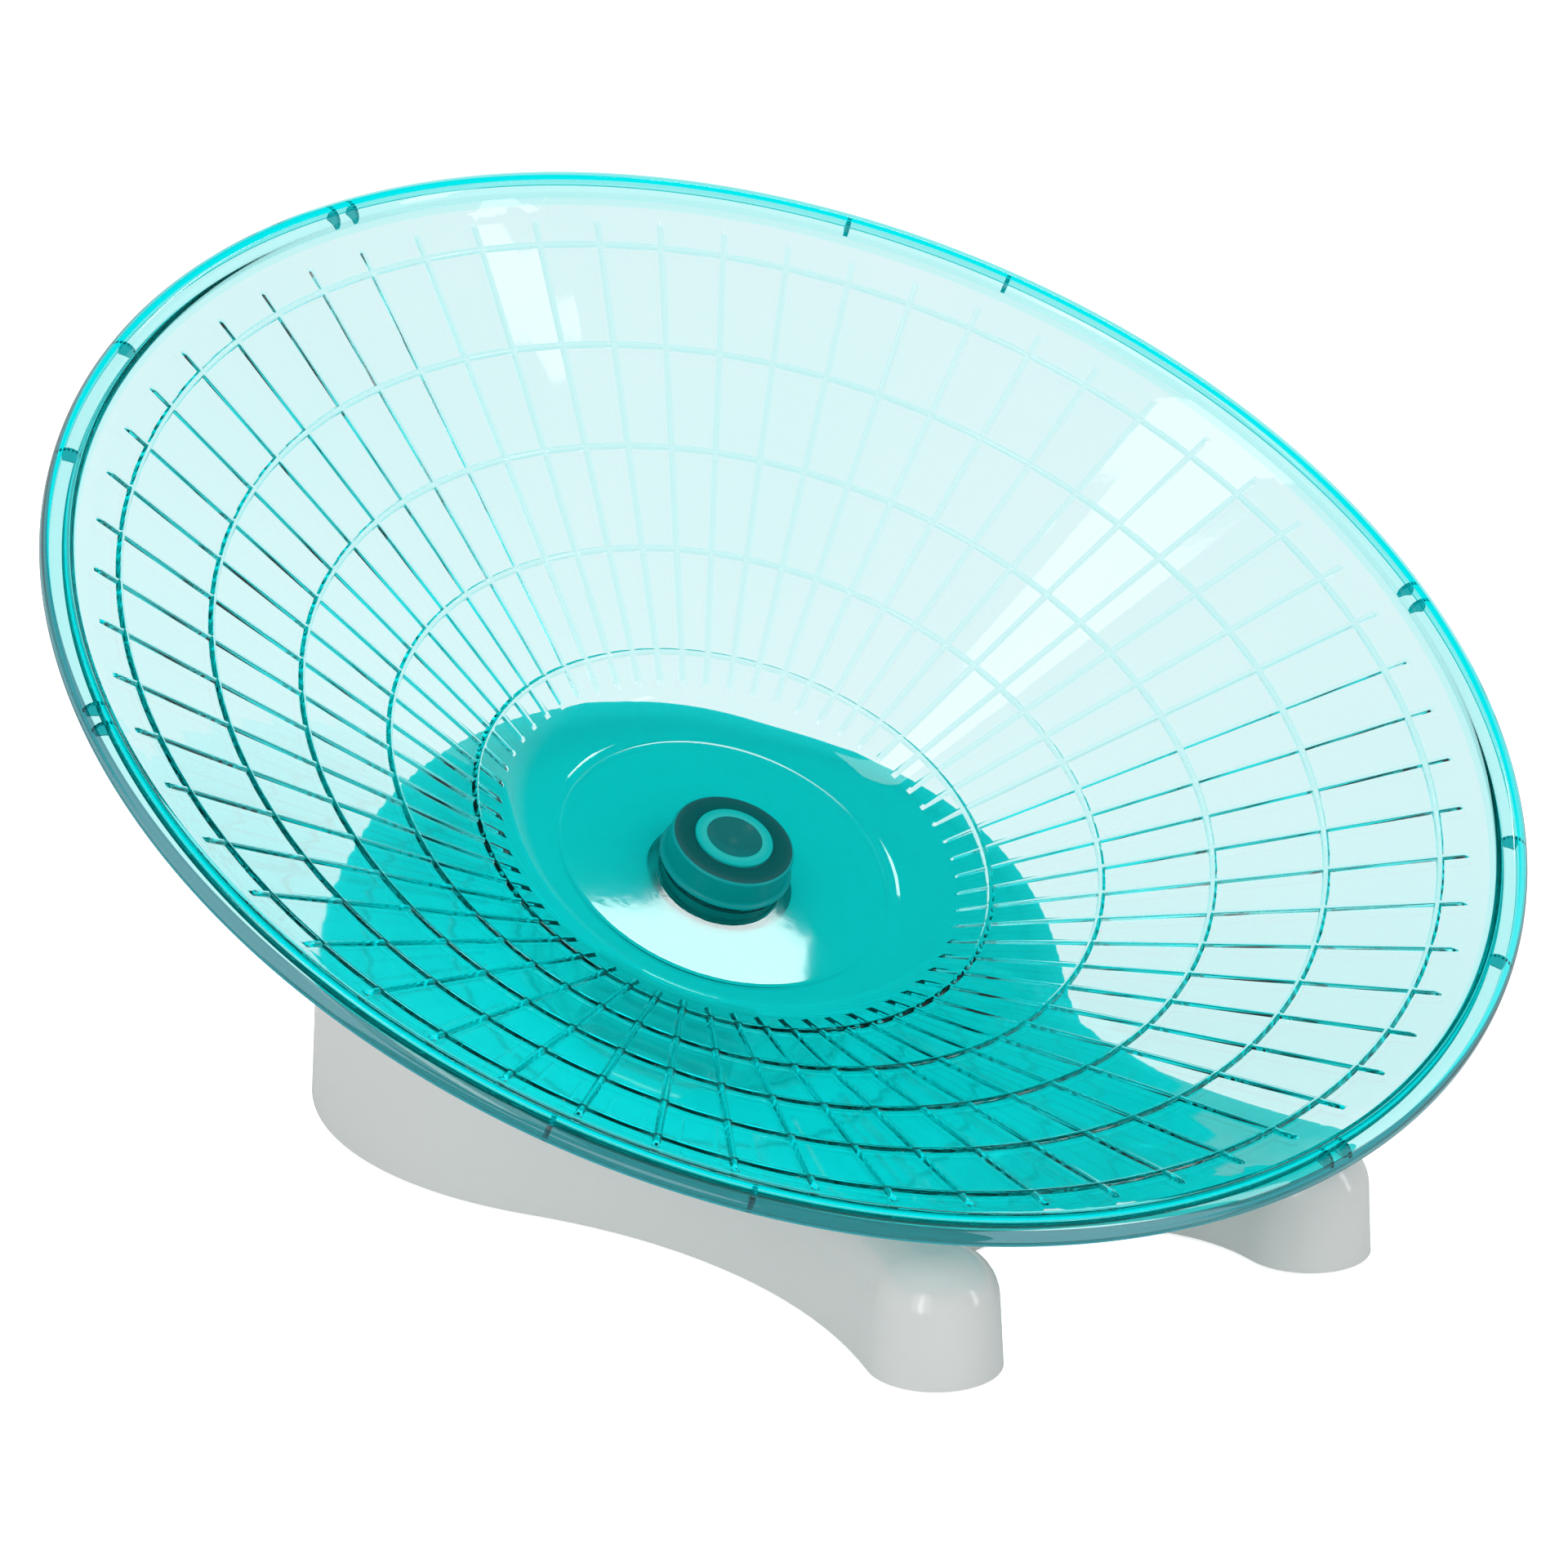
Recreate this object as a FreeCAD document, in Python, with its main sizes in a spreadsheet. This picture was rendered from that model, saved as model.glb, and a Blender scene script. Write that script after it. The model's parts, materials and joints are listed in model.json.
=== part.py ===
import FreeCAD, Part
import math
import os
import Sketcher

# Running disc for small pets: a clear ribbed dish that spins on a tilted ball bearing over a two-toed base.
# Frame: X across, front towards -Y, Z up, origin on the ground under the middle of the whole object.
# Pieces on the spin axis are drawn upright, floor of the dish at z = 0, and placed on the tilted axis.

# Driving sizes, in millimetres, degrees and counts
SIZES = {
    # dish
    "disc_radius": (150.0, "outer radius of the dish, over its lip"),
    "dish_wall": (2.0, "wall of the dish"),
    "cone_angle": (28.7, "slope of the running wall against the floor"),
    "floor_radius": (34.4, "flat floor inside the moulded crease"),
    "floor_step": (0.4, "height of the crease round the floor"),
    "bend_radius": (25.0, "bend between floor and running wall"),
    "lip_radius": (3.2, "outside radius of the rolled lip"),
    "lip_wall": (1.6, "wall of the rolled lip"),
    "lip_rise": (0.2, "lip centre above the end of the running wall"),
    "lip_drop": (1.1, "skirt of the lip below its centre"),
    "ring_first": (54.0, "radius of the innermost ring rib"),
    "ring_pitch": (20.0, "spacing of the ring ribs"),
    "ring_count": (5, "ring ribs"),
    "ring_height": (0.8, "ring rib above the wall"),
    "rib_count": (60, "radial ribs"),
    "rib_width": (1.1, "width of every rib"),
    "rib_height": (0.6, "radial rib above the wall"),
    "rib_sink": (0.4, "root of a rib inside the wall"),
    "rib_start": (48.0, "inner end of the radial ribs"),
    "rib_end": (138.7, "outer end of the radial ribs"),
    "rib_phase": (4.54, "azimuth of the first radial rib"),
    "web_width": (0.9, "gusset web in the lip"),
    "web_lead": (-79.5, "azimuth of the first web pair in the lip"),
    "web_step": (72.0, "azimuth from that pair to the second one"),
    "web_pair_angle": (2.0, "angle between the two webs of a pair"),
    "web_single_lead": (-133.5, "azimuth midway between two single webs"),
    "web_single_angle": (14.4, "angle between those two single webs"),
    # hub of the dish
    "hub_radius": (12.85, "outside radius of the hub"),
    "hub_height": (6.0, "hub above the floor"),
    "hub_drop": (7.0, "hub sleeve below the floor"),
    "hub_fillet": (1.0, "root of the hub on the floor"),
    "crown_outer": (8.1, "outer radius of the raised crown on the hub"),
    "crown_inner": (5.8, "inner radius of the raised crown"),
    "crown_height": (0.9, "crown above the hub"),
    "gate_dip": (0.4, "dished centre below the hub top"),
    "seat_depth": (3.0, "bearing seat below the hub top"),
    "relief_radius": (7.0, "recess over the axle head"),
    "relief_depth": (1.4, "depth of that recess above the bearing seat"),
    # ball bearing
    "bearing_radius": (11.0, "outside radius of the bearing"),
    "bearing_bore": (4.0, "bore radius of the bearing"),
    "bearing_width": (7.0, "width of the bearing"),
    "outer_land": (9.4, "inside radius of the outer ring"),
    "inner_land": (5.8, "outside radius of the inner ring"),
    "ball_radius": (1.98, "balls"),
    "ball_count": (7, "balls in the bearing"),
    "ball_play": (0.06, "clearance between ball and groove"),
    "cage_wall": (1.0, "radial thickness of the ball cage"),
    "cage_width": (4.8, "width of the ball cage"),
    "pocket_play": (0.15, "clearance between ball and cage pocket"),
    "shield_wall": (0.4, "thickness of a bearing shield"),
    "shield_inset": (0.3, "shield below the bearing face"),
    "shield_play": (0.3, "clearance between shield and inner ring"),
    # axle
    "axle_play": (0.01, "clearance of the axle in the pieces that it passes"),
    "axle_head_radius": (5.6, "head of the axle"),
    "axle_head": (1.0, "thickness of the axle head"),
    "axle_length": (21.0, "shank of the axle below its head"),
    "spacer_radius": (6.0, "outside radius of the spacer under the bearing"),
    "spacer_length": (2.5, "height of that spacer"),
    "retainer_inner": (8.6, "inside radius of the bearing retainer"),
    "retainer_width": (1.6, "height of the bearing retainer"),
    "screw_radius": (2.0, "shank of the axle screw"),
    "screw_depth": (9.0, "screw inside the axle"),
    "hole_spare": (1.0, "tapped hole beyond the tip of the screw"),
    "screw_head_radius": (4.0, "head of the axle screw"),
    "screw_head": (2.6, "height of the screw head"),
    "screw_recess": (1.5, "drive recess in the screw head"),
    "drive_radius": (1.6, "corner radius of the hexagon drive"),
    "washer_radius": (6.0, "outside radius of the washer under the screw head"),
    "washer_wall": (1.0, "thickness of that washer"),
    "washer_play": (0.2, "clearance of that washer round the screw"),
    # base
    "tilt": (28.6, "tilt of the spin axis towards the front"),
    "axis_y": (27.0, "floor centre of the dish, behind the origin"),
    "axis_height": (51.5, "floor centre of the dish above the ground"),
    "deck_gap": (3.5, "running gap from dish floor to deck"),
    "base_wall": (2.5, "wall of the base"),
    "draft": (3.4, "draft of the base's side walls"),
    "rear_y": (39.5, "centre of the round rear"),
    "rear_radius": (78.5, "radius of the round rear at the ground"),
    "waist_radius": (113.0, "hollow flank between rear and toe"),
    "toe_spread": (44.5, "toe centre from the middle"),
    "toe_reach": (101.0, "toe centre in front of the origin"),
    "toe_radius": (12.6, "round toe end at the ground"),
    "arch_setback": (4.0, "centre of the arch behind the toe centres"),
    "toe_height": (23.0, "top of the toes above the ground"),
    "instep_radius": (40.0, "hollow between deck and toes"),
    "shoulder": (16.0, "rounded edge of the deck at its flanks"),
    "heel_shoulder": (36.5, "rounded edge of the deck round its rear"),
    "heel_turn": (30.0, "azimuth where the rear rounding is full, from straight across"),
    "toe_shoulder": (9.5, "rounded edge of the toes"),
    "well_radius": (15.2, "well in the deck round the hub sleeve"),
    "well_depth": (4.0, "depth of that well"),
    "boss_radius": (8.0, "axle boss of the base"),
    "boss_length": (14.0, "axle boss below the floor of the well"),
    "brace_wall": (2.0, "stiffening ribs inside the base"),
    "brace_height": (24.0, "lower edge of the stiffening ribs above the ground"),
    # feet
    "pad_radius": (6.0, "rubber foot"),
    "pad_height": (2.6, "height of a rubber foot"),
    "pad_proud": (0.6, "rubber foot below the rim of the base"),
    "pad_cup_wall": (2.0, "wall of the cup that holds a rubber foot"),
    "pad_play": (0.05, "clearance of a rubber foot in its cup"),
    "heel_inset": (12.5, "rear rubber foot inside the round rear"),
    "heel_angle": (52.7, "azimuth of a rear rubber foot, from straight across"),
}

DOC = FreeCAD.newDocument("running_disc")
SHEET = DOC.addObject("Spreadsheet::Sheet", "Sizes")
for row, (alias, (number, note)) in enumerate(SIZES.items(), start=1):
    SHEET.set(f"A{row}", note)
    SHEET.set(f"B{row}", str(number))
    SHEET.setAlias(f"B{row}", alias)
DOC.recompute()


class Size:
    """A size that carries both its number and the sheet formula it comes from."""

    def __init__(self, number, formula):
        self.number = number
        self.formula = formula

    @staticmethod
    def of(value):
        return value if isinstance(value, Size) else Size(float(value), repr(float(value)))

    def __add__(self, other):
        other = Size.of(other)
        return Size(self.number + other.number, f"({self.formula} + {other.formula})")

    def __sub__(self, other):
        other = Size.of(other)
        return Size(self.number - other.number, f"({self.formula} - {other.formula})")

    def __mul__(self, other):
        other = Size.of(other)
        return Size(self.number * other.number, f"({self.formula} * {other.formula})")

    def __truediv__(self, other):
        other = Size.of(other)
        return Size(self.number / other.number, f"({self.formula} / {other.formula})")

    def __neg__(self):
        return Size(-self.number, f"(0 - {self.formula})")


def size(alias):
    return Size(float(SHEET.get(alias)), f"Sizes.{alias}")


def sine(angle):
    return Size(math.sin(math.radians(angle.number)), f"sin({angle.formula})")


def cosine(angle):
    return Size(math.cos(math.radians(angle.number)), f"cos({angle.formula})")


def tangent(angle):
    return Size(math.tan(math.radians(angle.number)), f"tan({angle.formula})")


def root(value):
    return Size(math.sqrt(value.number), f"sqrt({value.formula})")


def hypotenuse(a, b):
    return root(a * a + b * b)


ZERO = Size(0.0, "0")


# Sketch and feature helpers

def new_body(name):
    body = DOC.addObject("PartDesign::Body", name)
    body.Label = name
    return body


def bind(target, prop, value):
    target.setExpression(prop, Size.of(value).formula)


def stand_on_axis(piece):
    """Place a piece that was drawn upright on the tilted spin axis."""
    piece.Placement = FreeCAD.Placement(
        FreeCAD.Vector(0, size("axis_y").number, size("axis_height").number),
        FreeCAD.Rotation(FreeCAD.Vector(1, 0, 0), size("tilt").number),
    )
    bind(piece, "Placement.Base.y", size("axis_y"))
    bind(piece, "Placement.Base.z", size("axis_height"))
    bind(piece, "Placement.Rotation.Angle", size("tilt"))


def new_sketch(body, plane, name):
    sketch = body.newObject("Sketcher::SketchObject", name)
    support = next(f for f in body.Origin.OriginFeatures if f.Role == plane)
    sketch.AttachmentSupport = [(support, "")]
    sketch.MapMode = "FlatFace"
    return sketch


def pin_point(sketch, edge, end, x, y):
    """Hold one end of a sketch edge at (x, y), each measured from the sketch's origin."""
    for kind, value, axis in (("DistanceX", x, -2), ("DistanceY", y, -1)):
        if value.formula == ZERO.formula:
            sketch.addConstraint(Sketcher.Constraint("PointOnObject", edge, end, axis))
            continue
        index = sketch.addConstraint(
            Sketcher.Constraint(kind, -1, 1, edge, end, value.number)
        )
        sketch.setExpression(f"Constraints[{index}]", value.formula)


def arc_between(start, stop, radius, side):
    """The short arc from start to stop; side is 1 where it bulges to the right of that direction."""
    chord = stop - start
    half = chord.Length / 2
    rise = math.sqrt(max(radius * radius - half * half, 0.0))
    left = FreeCAD.Vector(-chord.y, chord.x, 0).normalize()
    centre = (start + stop) * 0.5 + left * (rise * side)
    circle = Part.Circle(centre, FreeCAD.Vector(0, 0, 1), radius)
    first, last = (start, stop) if side > 0 else (stop, start)
    angles = [math.atan2(p.y - centre.y, p.x - centre.x) for p in (first, last)]
    if angles[1] < angles[0]:
        angles[1] += 2 * math.pi
    return Part.ArcOfCircle(circle, angles[0], angles[1])


def outline(sketch, corners):
    """Closed outline of (x, y) corners; (x, y, radius, side) starts an arc to the next corner."""
    ends = []
    for number, corner in enumerate(corners):
        following = corners[(number + 1) % len(corners)]
        start = FreeCAD.Vector(Size.of(corner[0]).number, Size.of(corner[1]).number, 0)
        stop = FreeCAD.Vector(Size.of(following[0]).number, Size.of(following[1]).number, 0)
        if len(corner) == 2:
            edge = sketch.addGeometry(Part.LineSegment(start, stop))
            ends.append((edge, 1, 2))
        else:
            radius, side = corner[2], corner[3]
            edge = sketch.addGeometry(arc_between(start, stop, radius.number, side))
            ends.append((edge, 1, 2) if side > 0 else (edge, 2, 1))
            index = sketch.addConstraint(Sketcher.Constraint("Radius", edge, radius.number))
            sketch.setExpression(f"Constraints[{index}]", radius.formula)
    for number, (edge, first, last) in enumerate(ends):
        next_edge, next_first, _ = ends[(number + 1) % len(ends)]
        sketch.addConstraint(Sketcher.Constraint("Coincident", edge, last, next_edge, next_first))
        pin_point(sketch, edge, first, Size.of(corners[number][0]), Size.of(corners[number][1]))


def circle(sketch, x, y, radius):
    edge = sketch.addGeometry(
        Part.Circle(FreeCAD.Vector(x.number, y.number, 0), FreeCAD.Vector(0, 0, 1), radius.number)
    )
    index = sketch.addConstraint(Sketcher.Constraint("Radius", edge, radius.number))
    sketch.setExpression(f"Constraints[{index}]", radius.formula)
    pin_point(sketch, edge, 3, x, y)


def revolve(body, name, *outlines):
    """Turn one or more (radius, height) outlines about the upright axis of the body."""
    sketch = new_sketch(body, "XZ_Plane", f"{name}_section")
    for corners in outlines:
        outline(sketch, corners)
    feature = body.newObject("PartDesign::Revolution", name)
    feature.Profile = sketch
    feature.ReferenceAxis = (sketch, ["V_Axis"])
    feature.Angle = 360.0
    body.Tip = feature
    DOC.recompute()
    return feature


def extrude(body, name, sketch, length, symmetric=False, cut=False, reverse=False):
    feature = body.newObject("PartDesign::Pocket" if cut else "PartDesign::Pad", name)
    feature.Profile = sketch
    feature.SideType = "Symmetric" if symmetric else "One side"
    feature.Reversed = reverse
    bind(feature, "Length", length)
    body.Tip = feature
    DOC.recompute()
    return feature


def repeat_round(body, name, feature, axis_sketch, count):
    pattern = body.newObject("PartDesign::PolarPattern", name)
    pattern.Originals = [feature]
    pattern.Axis = (axis_sketch, ["V_Axis"])
    pattern.Angle = 360.0
    bind(pattern, "Occurrences", count)
    body.Tip = pattern
    DOC.recompute()
    return pattern


def ring(name, inner, outer, bottom, top):
    """A plain turned ring on the spin axis."""
    body = new_body(name)
    revolve(body, f"{name}_turn", [(inner, bottom), (outer, bottom), (outer, top), (inner, top)])
    stand_on_axis(body)
    return body


# Levels along the spin axis, above the floor of the dish

DISH_WALL = size("dish_wall")
CONE = size("cone_angle")
BEND = size("bend_radius")
LEDGE_RADIUS = size("floor_radius") + size("floor_step")
BEND_RUN = BEND * tangent(CONE / 2)
WALL_FOOT = LEDGE_RADIUS + BEND_RUN

SEAT_LEVEL = size("hub_height") - size("seat_depth")
BEARING_BOTTOM = SEAT_LEVEL - size("bearing_width")
BEARING_MIDDLE = SEAT_LEVEL - size("bearing_width") / 2
BOSS_TOP = BEARING_BOTTOM - size("spacer_length")
DECK_LEVEL = -(DISH_WALL + size("deck_gap"))
WELL_FLOOR = DECK_LEVEL - size("well_depth")
BOSS_BOTTOM = WELL_FLOOR - size("boss_length")
PITCH_RADIUS = (size("outer_land") + size("inner_land")) / 2


def wall_level(radius):
    """Height of the running surface at a radius."""
    return size("floor_step") + (radius - WALL_FOOT) * tangent(CONE)


def on_wall(along, above):
    """Point `above` the running surface, square to it, over the surface point at radius `along`."""
    return along - above * sine(CONE), wall_level(along) + above * cosine(CONE)


# Dish: turned shell with hub, bend, running wall and rolled lip

def dish_section():
    rim = size("disc_radius")
    lip = size("lip_radius")
    lip_wall = size("lip_wall")
    hub = size("hub_radius")
    hub_top = size("hub_height")
    crown_top = hub_top + size("crown_height")
    dish_dip = size("crown_height") + size("gate_dip")
    dip_radius = (size("crown_inner") * size("crown_inner") + dish_dip * dish_dip) / (dish_dip * 2)
    fillet = size("hub_fillet")
    lip_inner = rim - lip * 2
    lip_middle = rim - lip
    lip_level = wall_level(lip_inner) + size("lip_rise")
    skirt = lip_level - size("lip_drop")
    channel_inner = lip_inner + lip_wall
    under = BEND + DISH_WALL
    bend_level = size("floor_step") + BEND
    relief_level = SEAT_LEVEL + size("relief_depth")
    return [
        (ZERO, crown_top - dish_dip, dip_radius, 1),
        (size("crown_inner"), crown_top),
        (size("crown_outer"), crown_top),
        (size("crown_outer"), hub_top),
        (hub, hub_top),
        (hub, fillet, fillet, 1),
        (hub + fillet, ZERO),
        (size("floor_radius"), ZERO),
        (LEDGE_RADIUS, size("floor_step"), BEND, 1),
        (LEDGE_RADIUS + BEND * sine(CONE), bend_level - BEND * cosine(CONE)),
        (lip_inner, wall_level(lip_inner)),
        (lip_inner, lip_level, lip, -1),
        (lip_middle, lip_level + lip, lip, -1),
        (rim, lip_level),
        (rim, skirt),
        (rim - lip_wall, skirt),
        (rim - lip_wall, lip_level, lip - lip_wall, 1),
        (lip_middle, lip_level + lip - lip_wall, lip - lip_wall, 1),
        (channel_inner, lip_level),
        (channel_inner, wall_level(channel_inner) - DISH_WALL / cosine(CONE)),
        (LEDGE_RADIUS + under * sine(CONE), bend_level - under * cosine(CONE), under, -1),
        (LEDGE_RADIUS, size("floor_step") - DISH_WALL),
        (size("floor_radius"), -DISH_WALL),
        (hub, -DISH_WALL),
        (hub, -size("hub_drop")),
        (size("bearing_radius"), -size("hub_drop")),
        (size("bearing_radius"), SEAT_LEVEL),
        (size("relief_radius"), SEAT_LEVEL),
        (size("relief_radius"), relief_level),
        (ZERO, relief_level),
    ]


def ring_rib_section(number):
    middle = size("ring_first") + size("ring_pitch") * number
    half = size("rib_width") / 2 * cosine(CONE)
    sink = -size("rib_sink")
    top = size("ring_height")
    return [
        on_wall(middle - half, sink),
        on_wall(middle + half, sink),
        on_wall(middle + half, top),
        on_wall(middle - half, top),
    ]


def turn_sketch(sketch, azimuth):
    """Turn an upright sketch about the spin axis."""
    sketch.AttachmentOffset = FreeCAD.Placement(
        FreeCAD.Vector(0, 0, 0), FreeCAD.Rotation(FreeCAD.Vector(0, 1, 0), azimuth.number)
    )
    bind(sketch, "AttachmentOffset.Rotation.Angle", azimuth)


def lip_web(body, name, azimuth, count):
    """Thin webs that stiffen the hollow lip, repeated evenly round the rim."""
    rim = size("disc_radius")
    lip = size("lip_radius")
    lip_level = wall_level(rim - lip * 2) + size("lip_rise")
    middle = rim - lip
    # the web ends halfway inside the wall of the lip
    reach = lip - size("lip_wall") / 2
    bottom = lip_level - size("lip_drop")
    sketch = new_sketch(body, "XZ_Plane", f"{name}_side")
    turn_sketch(sketch, azimuth)
    outline(sketch, [
        (middle - reach, bottom),
        (middle + reach, bottom),
        (middle + reach, lip_level, reach, 1),
        (middle, lip_level + reach, reach, 1),
        (middle - reach, lip_level),
    ])
    web = extrude(body, name, sketch, size("web_width"), symmetric=True)
    return repeat_round(body, f"{name}s", web, sketch, Size.of(count))


def make_dish():
    body = new_body("running_disc")
    revolve(body, "dish_turn", dish_section())
    pair = size("web_pair_angle") / 2
    single = size("web_single_angle") / 2
    second = size("web_lead") + size("web_step")
    lip_web(body, "lip_web_first_left", size("web_lead") - pair, 2)
    lip_web(body, "lip_web_first_right", size("web_lead") + pair, 2)
    lip_web(body, "lip_web_second_left", second - pair, 2)
    lip_web(body, "lip_web_second_right", second + pair, 2)
    lip_web(body, "lip_web_single_left", size("web_single_lead") - single, 4)
    lip_web(body, "lip_web_single_right", size("web_single_lead") + single, 4)
    count = int(size("ring_count").number)
    revolve(body, "ring_ribs", *[ring_rib_section(number) for number in range(count)])
    side = new_sketch(body, "XZ_Plane", "rib_side")
    turn_sketch(side, size("rib_phase"))
    outline(side, [
        on_wall(size("rib_start"), -size("rib_sink")),
        on_wall(size("rib_end"), -size("rib_sink")),
        on_wall(size("rib_end"), size("rib_height")),
        on_wall(size("rib_start"), size("rib_height")),
    ])
    rib = extrude(body, "radial_rib", side, size("rib_width"), symmetric=True)
    repeat_round(body, "radial_ribs", rib, side, size("rib_count"))
    stand_on_axis(body)
    return body


# Ball bearing pressed into the hub

def bearing_ring(name, land, back, side):
    """Ring of the bearing between its land and its back; side is 1 where the ball groove bulges outwards."""
    groove = size("ball_radius") + size("ball_play")
    reach = PITCH_RADIUS - land
    half = root(groove * groove - reach * reach)
    body = new_body(name)
    revolve(body, f"{name}_turn", [
        (land, BEARING_MIDDLE - half, groove, side),
        (land, BEARING_MIDDLE + half),
        (land, SEAT_LEVEL),
        (back, SEAT_LEVEL),
        (back, BEARING_BOTTOM),
        (land, BEARING_BOTTOM),
    ])
    stand_on_axis(body)
    return body


def make_balls():
    """The balls, spaced evenly on their pitch circle."""
    name = "bearing_balls"
    balls = []
    count = int(size("ball_count").number)
    for number in range(count):
        ball = DOC.addObject("Part::Sphere", f"ball_{number + 1}")
        bind(ball, "Radius", size("ball_radius"))
        azimuth = Size.of(number) * 360 / size("ball_count")
        bind(ball, "Placement.Base.x", PITCH_RADIUS * cosine(azimuth))
        bind(ball, "Placement.Base.y", PITCH_RADIUS * sine(azimuth))
        bind(ball, "Placement.Base.z", BEARING_MIDDLE)
        balls.append(ball)
    group = DOC.addObject("Part::Compound", name)
    group.Label = name
    group.Links = balls
    stand_on_axis(group)
    return group


def make_cage():
    """Ball cage: a thin band with a round window for every ball."""
    name = "bearing_cage"
    half = size("cage_wall") / 2
    low = BEARING_MIDDLE - size("cage_width") / 2
    high = BEARING_MIDDLE + size("cage_width") / 2
    body = new_body(name)
    turned = revolve(body, "cage_turn", [
        (PITCH_RADIUS - half, low),
        (PITCH_RADIUS + half, low),
        (PITCH_RADIUS + half, high),
        (PITCH_RADIUS - half, high),
    ])
    sketch = new_sketch(body, "YZ_Plane", "cage_window")
    circle(sketch, ZERO, BEARING_MIDDLE, size("ball_radius") + size("pocket_play"))
    window = extrude(body, "cage_cut", sketch, size("bearing_radius"), cut=True, reverse=True)
    repeat_round(body, "cage_windows", window, turned.Profile[0], size("ball_count"))
    stand_on_axis(body)
    return body


def make_bearing():
    inner_edge = size("inner_land") + size("shield_play")
    wall = size("shield_wall")
    upper = SEAT_LEVEL - size("shield_inset")
    lower = BEARING_BOTTOM + size("shield_inset")
    return [
        bearing_ring("bearing_outer_ring", size("outer_land"), size("bearing_radius"), 1),
        bearing_ring("bearing_inner_ring", size("inner_land"), size("bearing_bore"), -1),
        make_balls(),
        make_cage(),
        ring("bearing_upper_shield", inner_edge, size("outer_land"), upper - wall, upper),
        ring("bearing_lower_shield", inner_edge, size("outer_land"), lower, lower + wall),
    ]


# Axle, spacer, retainer, screw and washer

def make_axle():
    shank = size("bearing_bore") - size("axle_play")
    top = SEAT_LEVEL + size("axle_head")
    bottom = SEAT_LEVEL - size("axle_length")
    tapped = size("screw_radius")
    end = bottom + size("screw_depth") + size("hole_spare")
    body = new_body("axle_pin")
    revolve(body, "axle_turn", [
        (ZERO, end),
        (tapped, end),
        (tapped, bottom),
        (shank, bottom),
        (shank, SEAT_LEVEL),
        (size("axle_head_radius"), SEAT_LEVEL),
        (size("axle_head_radius"), top),
        (ZERO, top),
    ])
    stand_on_axis(body)
    return body


def make_axle_screw():
    washer_bottom = BOSS_BOTTOM - size("washer_wall")
    tip = SEAT_LEVEL - size("axle_length") + size("screw_depth")
    bottom = washer_bottom - size("screw_head")
    body = new_body("axle_screw")
    revolve(body, "screw_turn", [
        (ZERO, bottom),
        (size("screw_head_radius"), bottom),
        (size("screw_head_radius"), washer_bottom),
        (size("screw_radius"), washer_bottom),
        (size("screw_radius"), tip),
        (ZERO, tip),
    ])
    sketch = new_sketch(body, "XY_Plane", "drive_hexagon")
    bind(sketch, "AttachmentOffset.Base.z", bottom)
    sides = 6
    corners = []
    for number in range(sides):
        azimuth = Size.of(number * 360 / sides)
        corners.append((size("drive_radius") * cosine(azimuth), size("drive_radius") * sine(azimuth)))
    outline(sketch, corners)
    extrude(body, "drive_recess", sketch, size("screw_recess"), cut=True, reverse=True)
    stand_on_axis(body)
    return body


def make_axle_set():
    hole = size("bearing_bore")
    washer_bottom = BOSS_BOTTOM - size("washer_wall")
    retainer_bottom = BEARING_BOTTOM - size("retainer_width")
    return [
        make_axle(),
        ring("axle_spacer", hole, size("spacer_radius"), BOSS_TOP, BEARING_BOTTOM),
        ring("bearing_retainer", size("retainer_inner"), size("bearing_radius"), retainer_bottom, BEARING_BOTTOM),
        ring("screw_washer", size("screw_radius") + size("washer_play"), size("washer_radius"),
             washer_bottom, BOSS_BOTTOM),
        make_axle_screw(),
    ]


# Base: drafted two-toed shell under the dish

def base_outline(inset):
    """Plan of the base at the ground, moved in by `inset`; tangent arcs all round."""
    rear = size("rear_radius") - inset
    waist = size("waist_radius") + inset
    toe = size("toe_radius") - inset
    spread = size("toe_spread")
    rear_y = size("rear_y")
    toe_y = -size("toe_reach")
    arch_y = toe_y + size("arch_setback")
    arch_to_toe = hypotenuse(spread, size("arch_setback"))
    arch = arch_to_toe - toe
    # centre of the waist arc: it touches the rear round and the toe round from outside
    span_y = rear_y - toe_y
    span = hypotenuse(spread, span_y)
    to_rear = rear + waist
    to_toe = toe + waist
    along = (to_toe * to_toe - to_rear * to_rear + span * span) / (span * 2)
    off = root(to_toe * to_toe - along * along)
    waist_x = spread - spread * along / span + span_y * off / span
    waist_y = toe_y + span_y * along / span + spread * off / span
    rear_touch = (waist_x * rear / to_rear, rear_y + (waist_y - rear_y) * rear / to_rear)
    toe_touch = (
        spread + (waist_x - spread) * toe / to_toe,
        toe_y + (waist_y - toe_y) * toe / to_toe,
    )
    arch_touch = (spread * arch / arch_to_toe, arch_y + (toe_y - arch_y) * arch / arch_to_toe)
    toe_end = (spread, toe_y - toe)
    heel = (rear * cosine(size("heel_turn")), rear_y + rear * sine(size("heel_turn")))
    return [
        (ZERO, rear_y + rear, rear, 1),
        (-heel[0], heel[1], rear, 1),
        (-rear_touch[0], rear_touch[1], waist, -1),
        (-toe_touch[0], toe_touch[1], toe, 1),
        (-toe_end[0], toe_end[1], toe, 1),
        (-arch_touch[0], arch_touch[1], arch, -1),
        (ZERO, arch_y + arch, arch, -1),
        (arch_touch[0], arch_touch[1], toe, 1),
        (toe_end[0], toe_end[1], toe, 1),
        (toe_touch[0], toe_touch[1], waist, -1),
        (rear_touch[0], rear_touch[1], rear, 1),
        (heel[0], heel[1], rear, 1),
    ]


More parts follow.
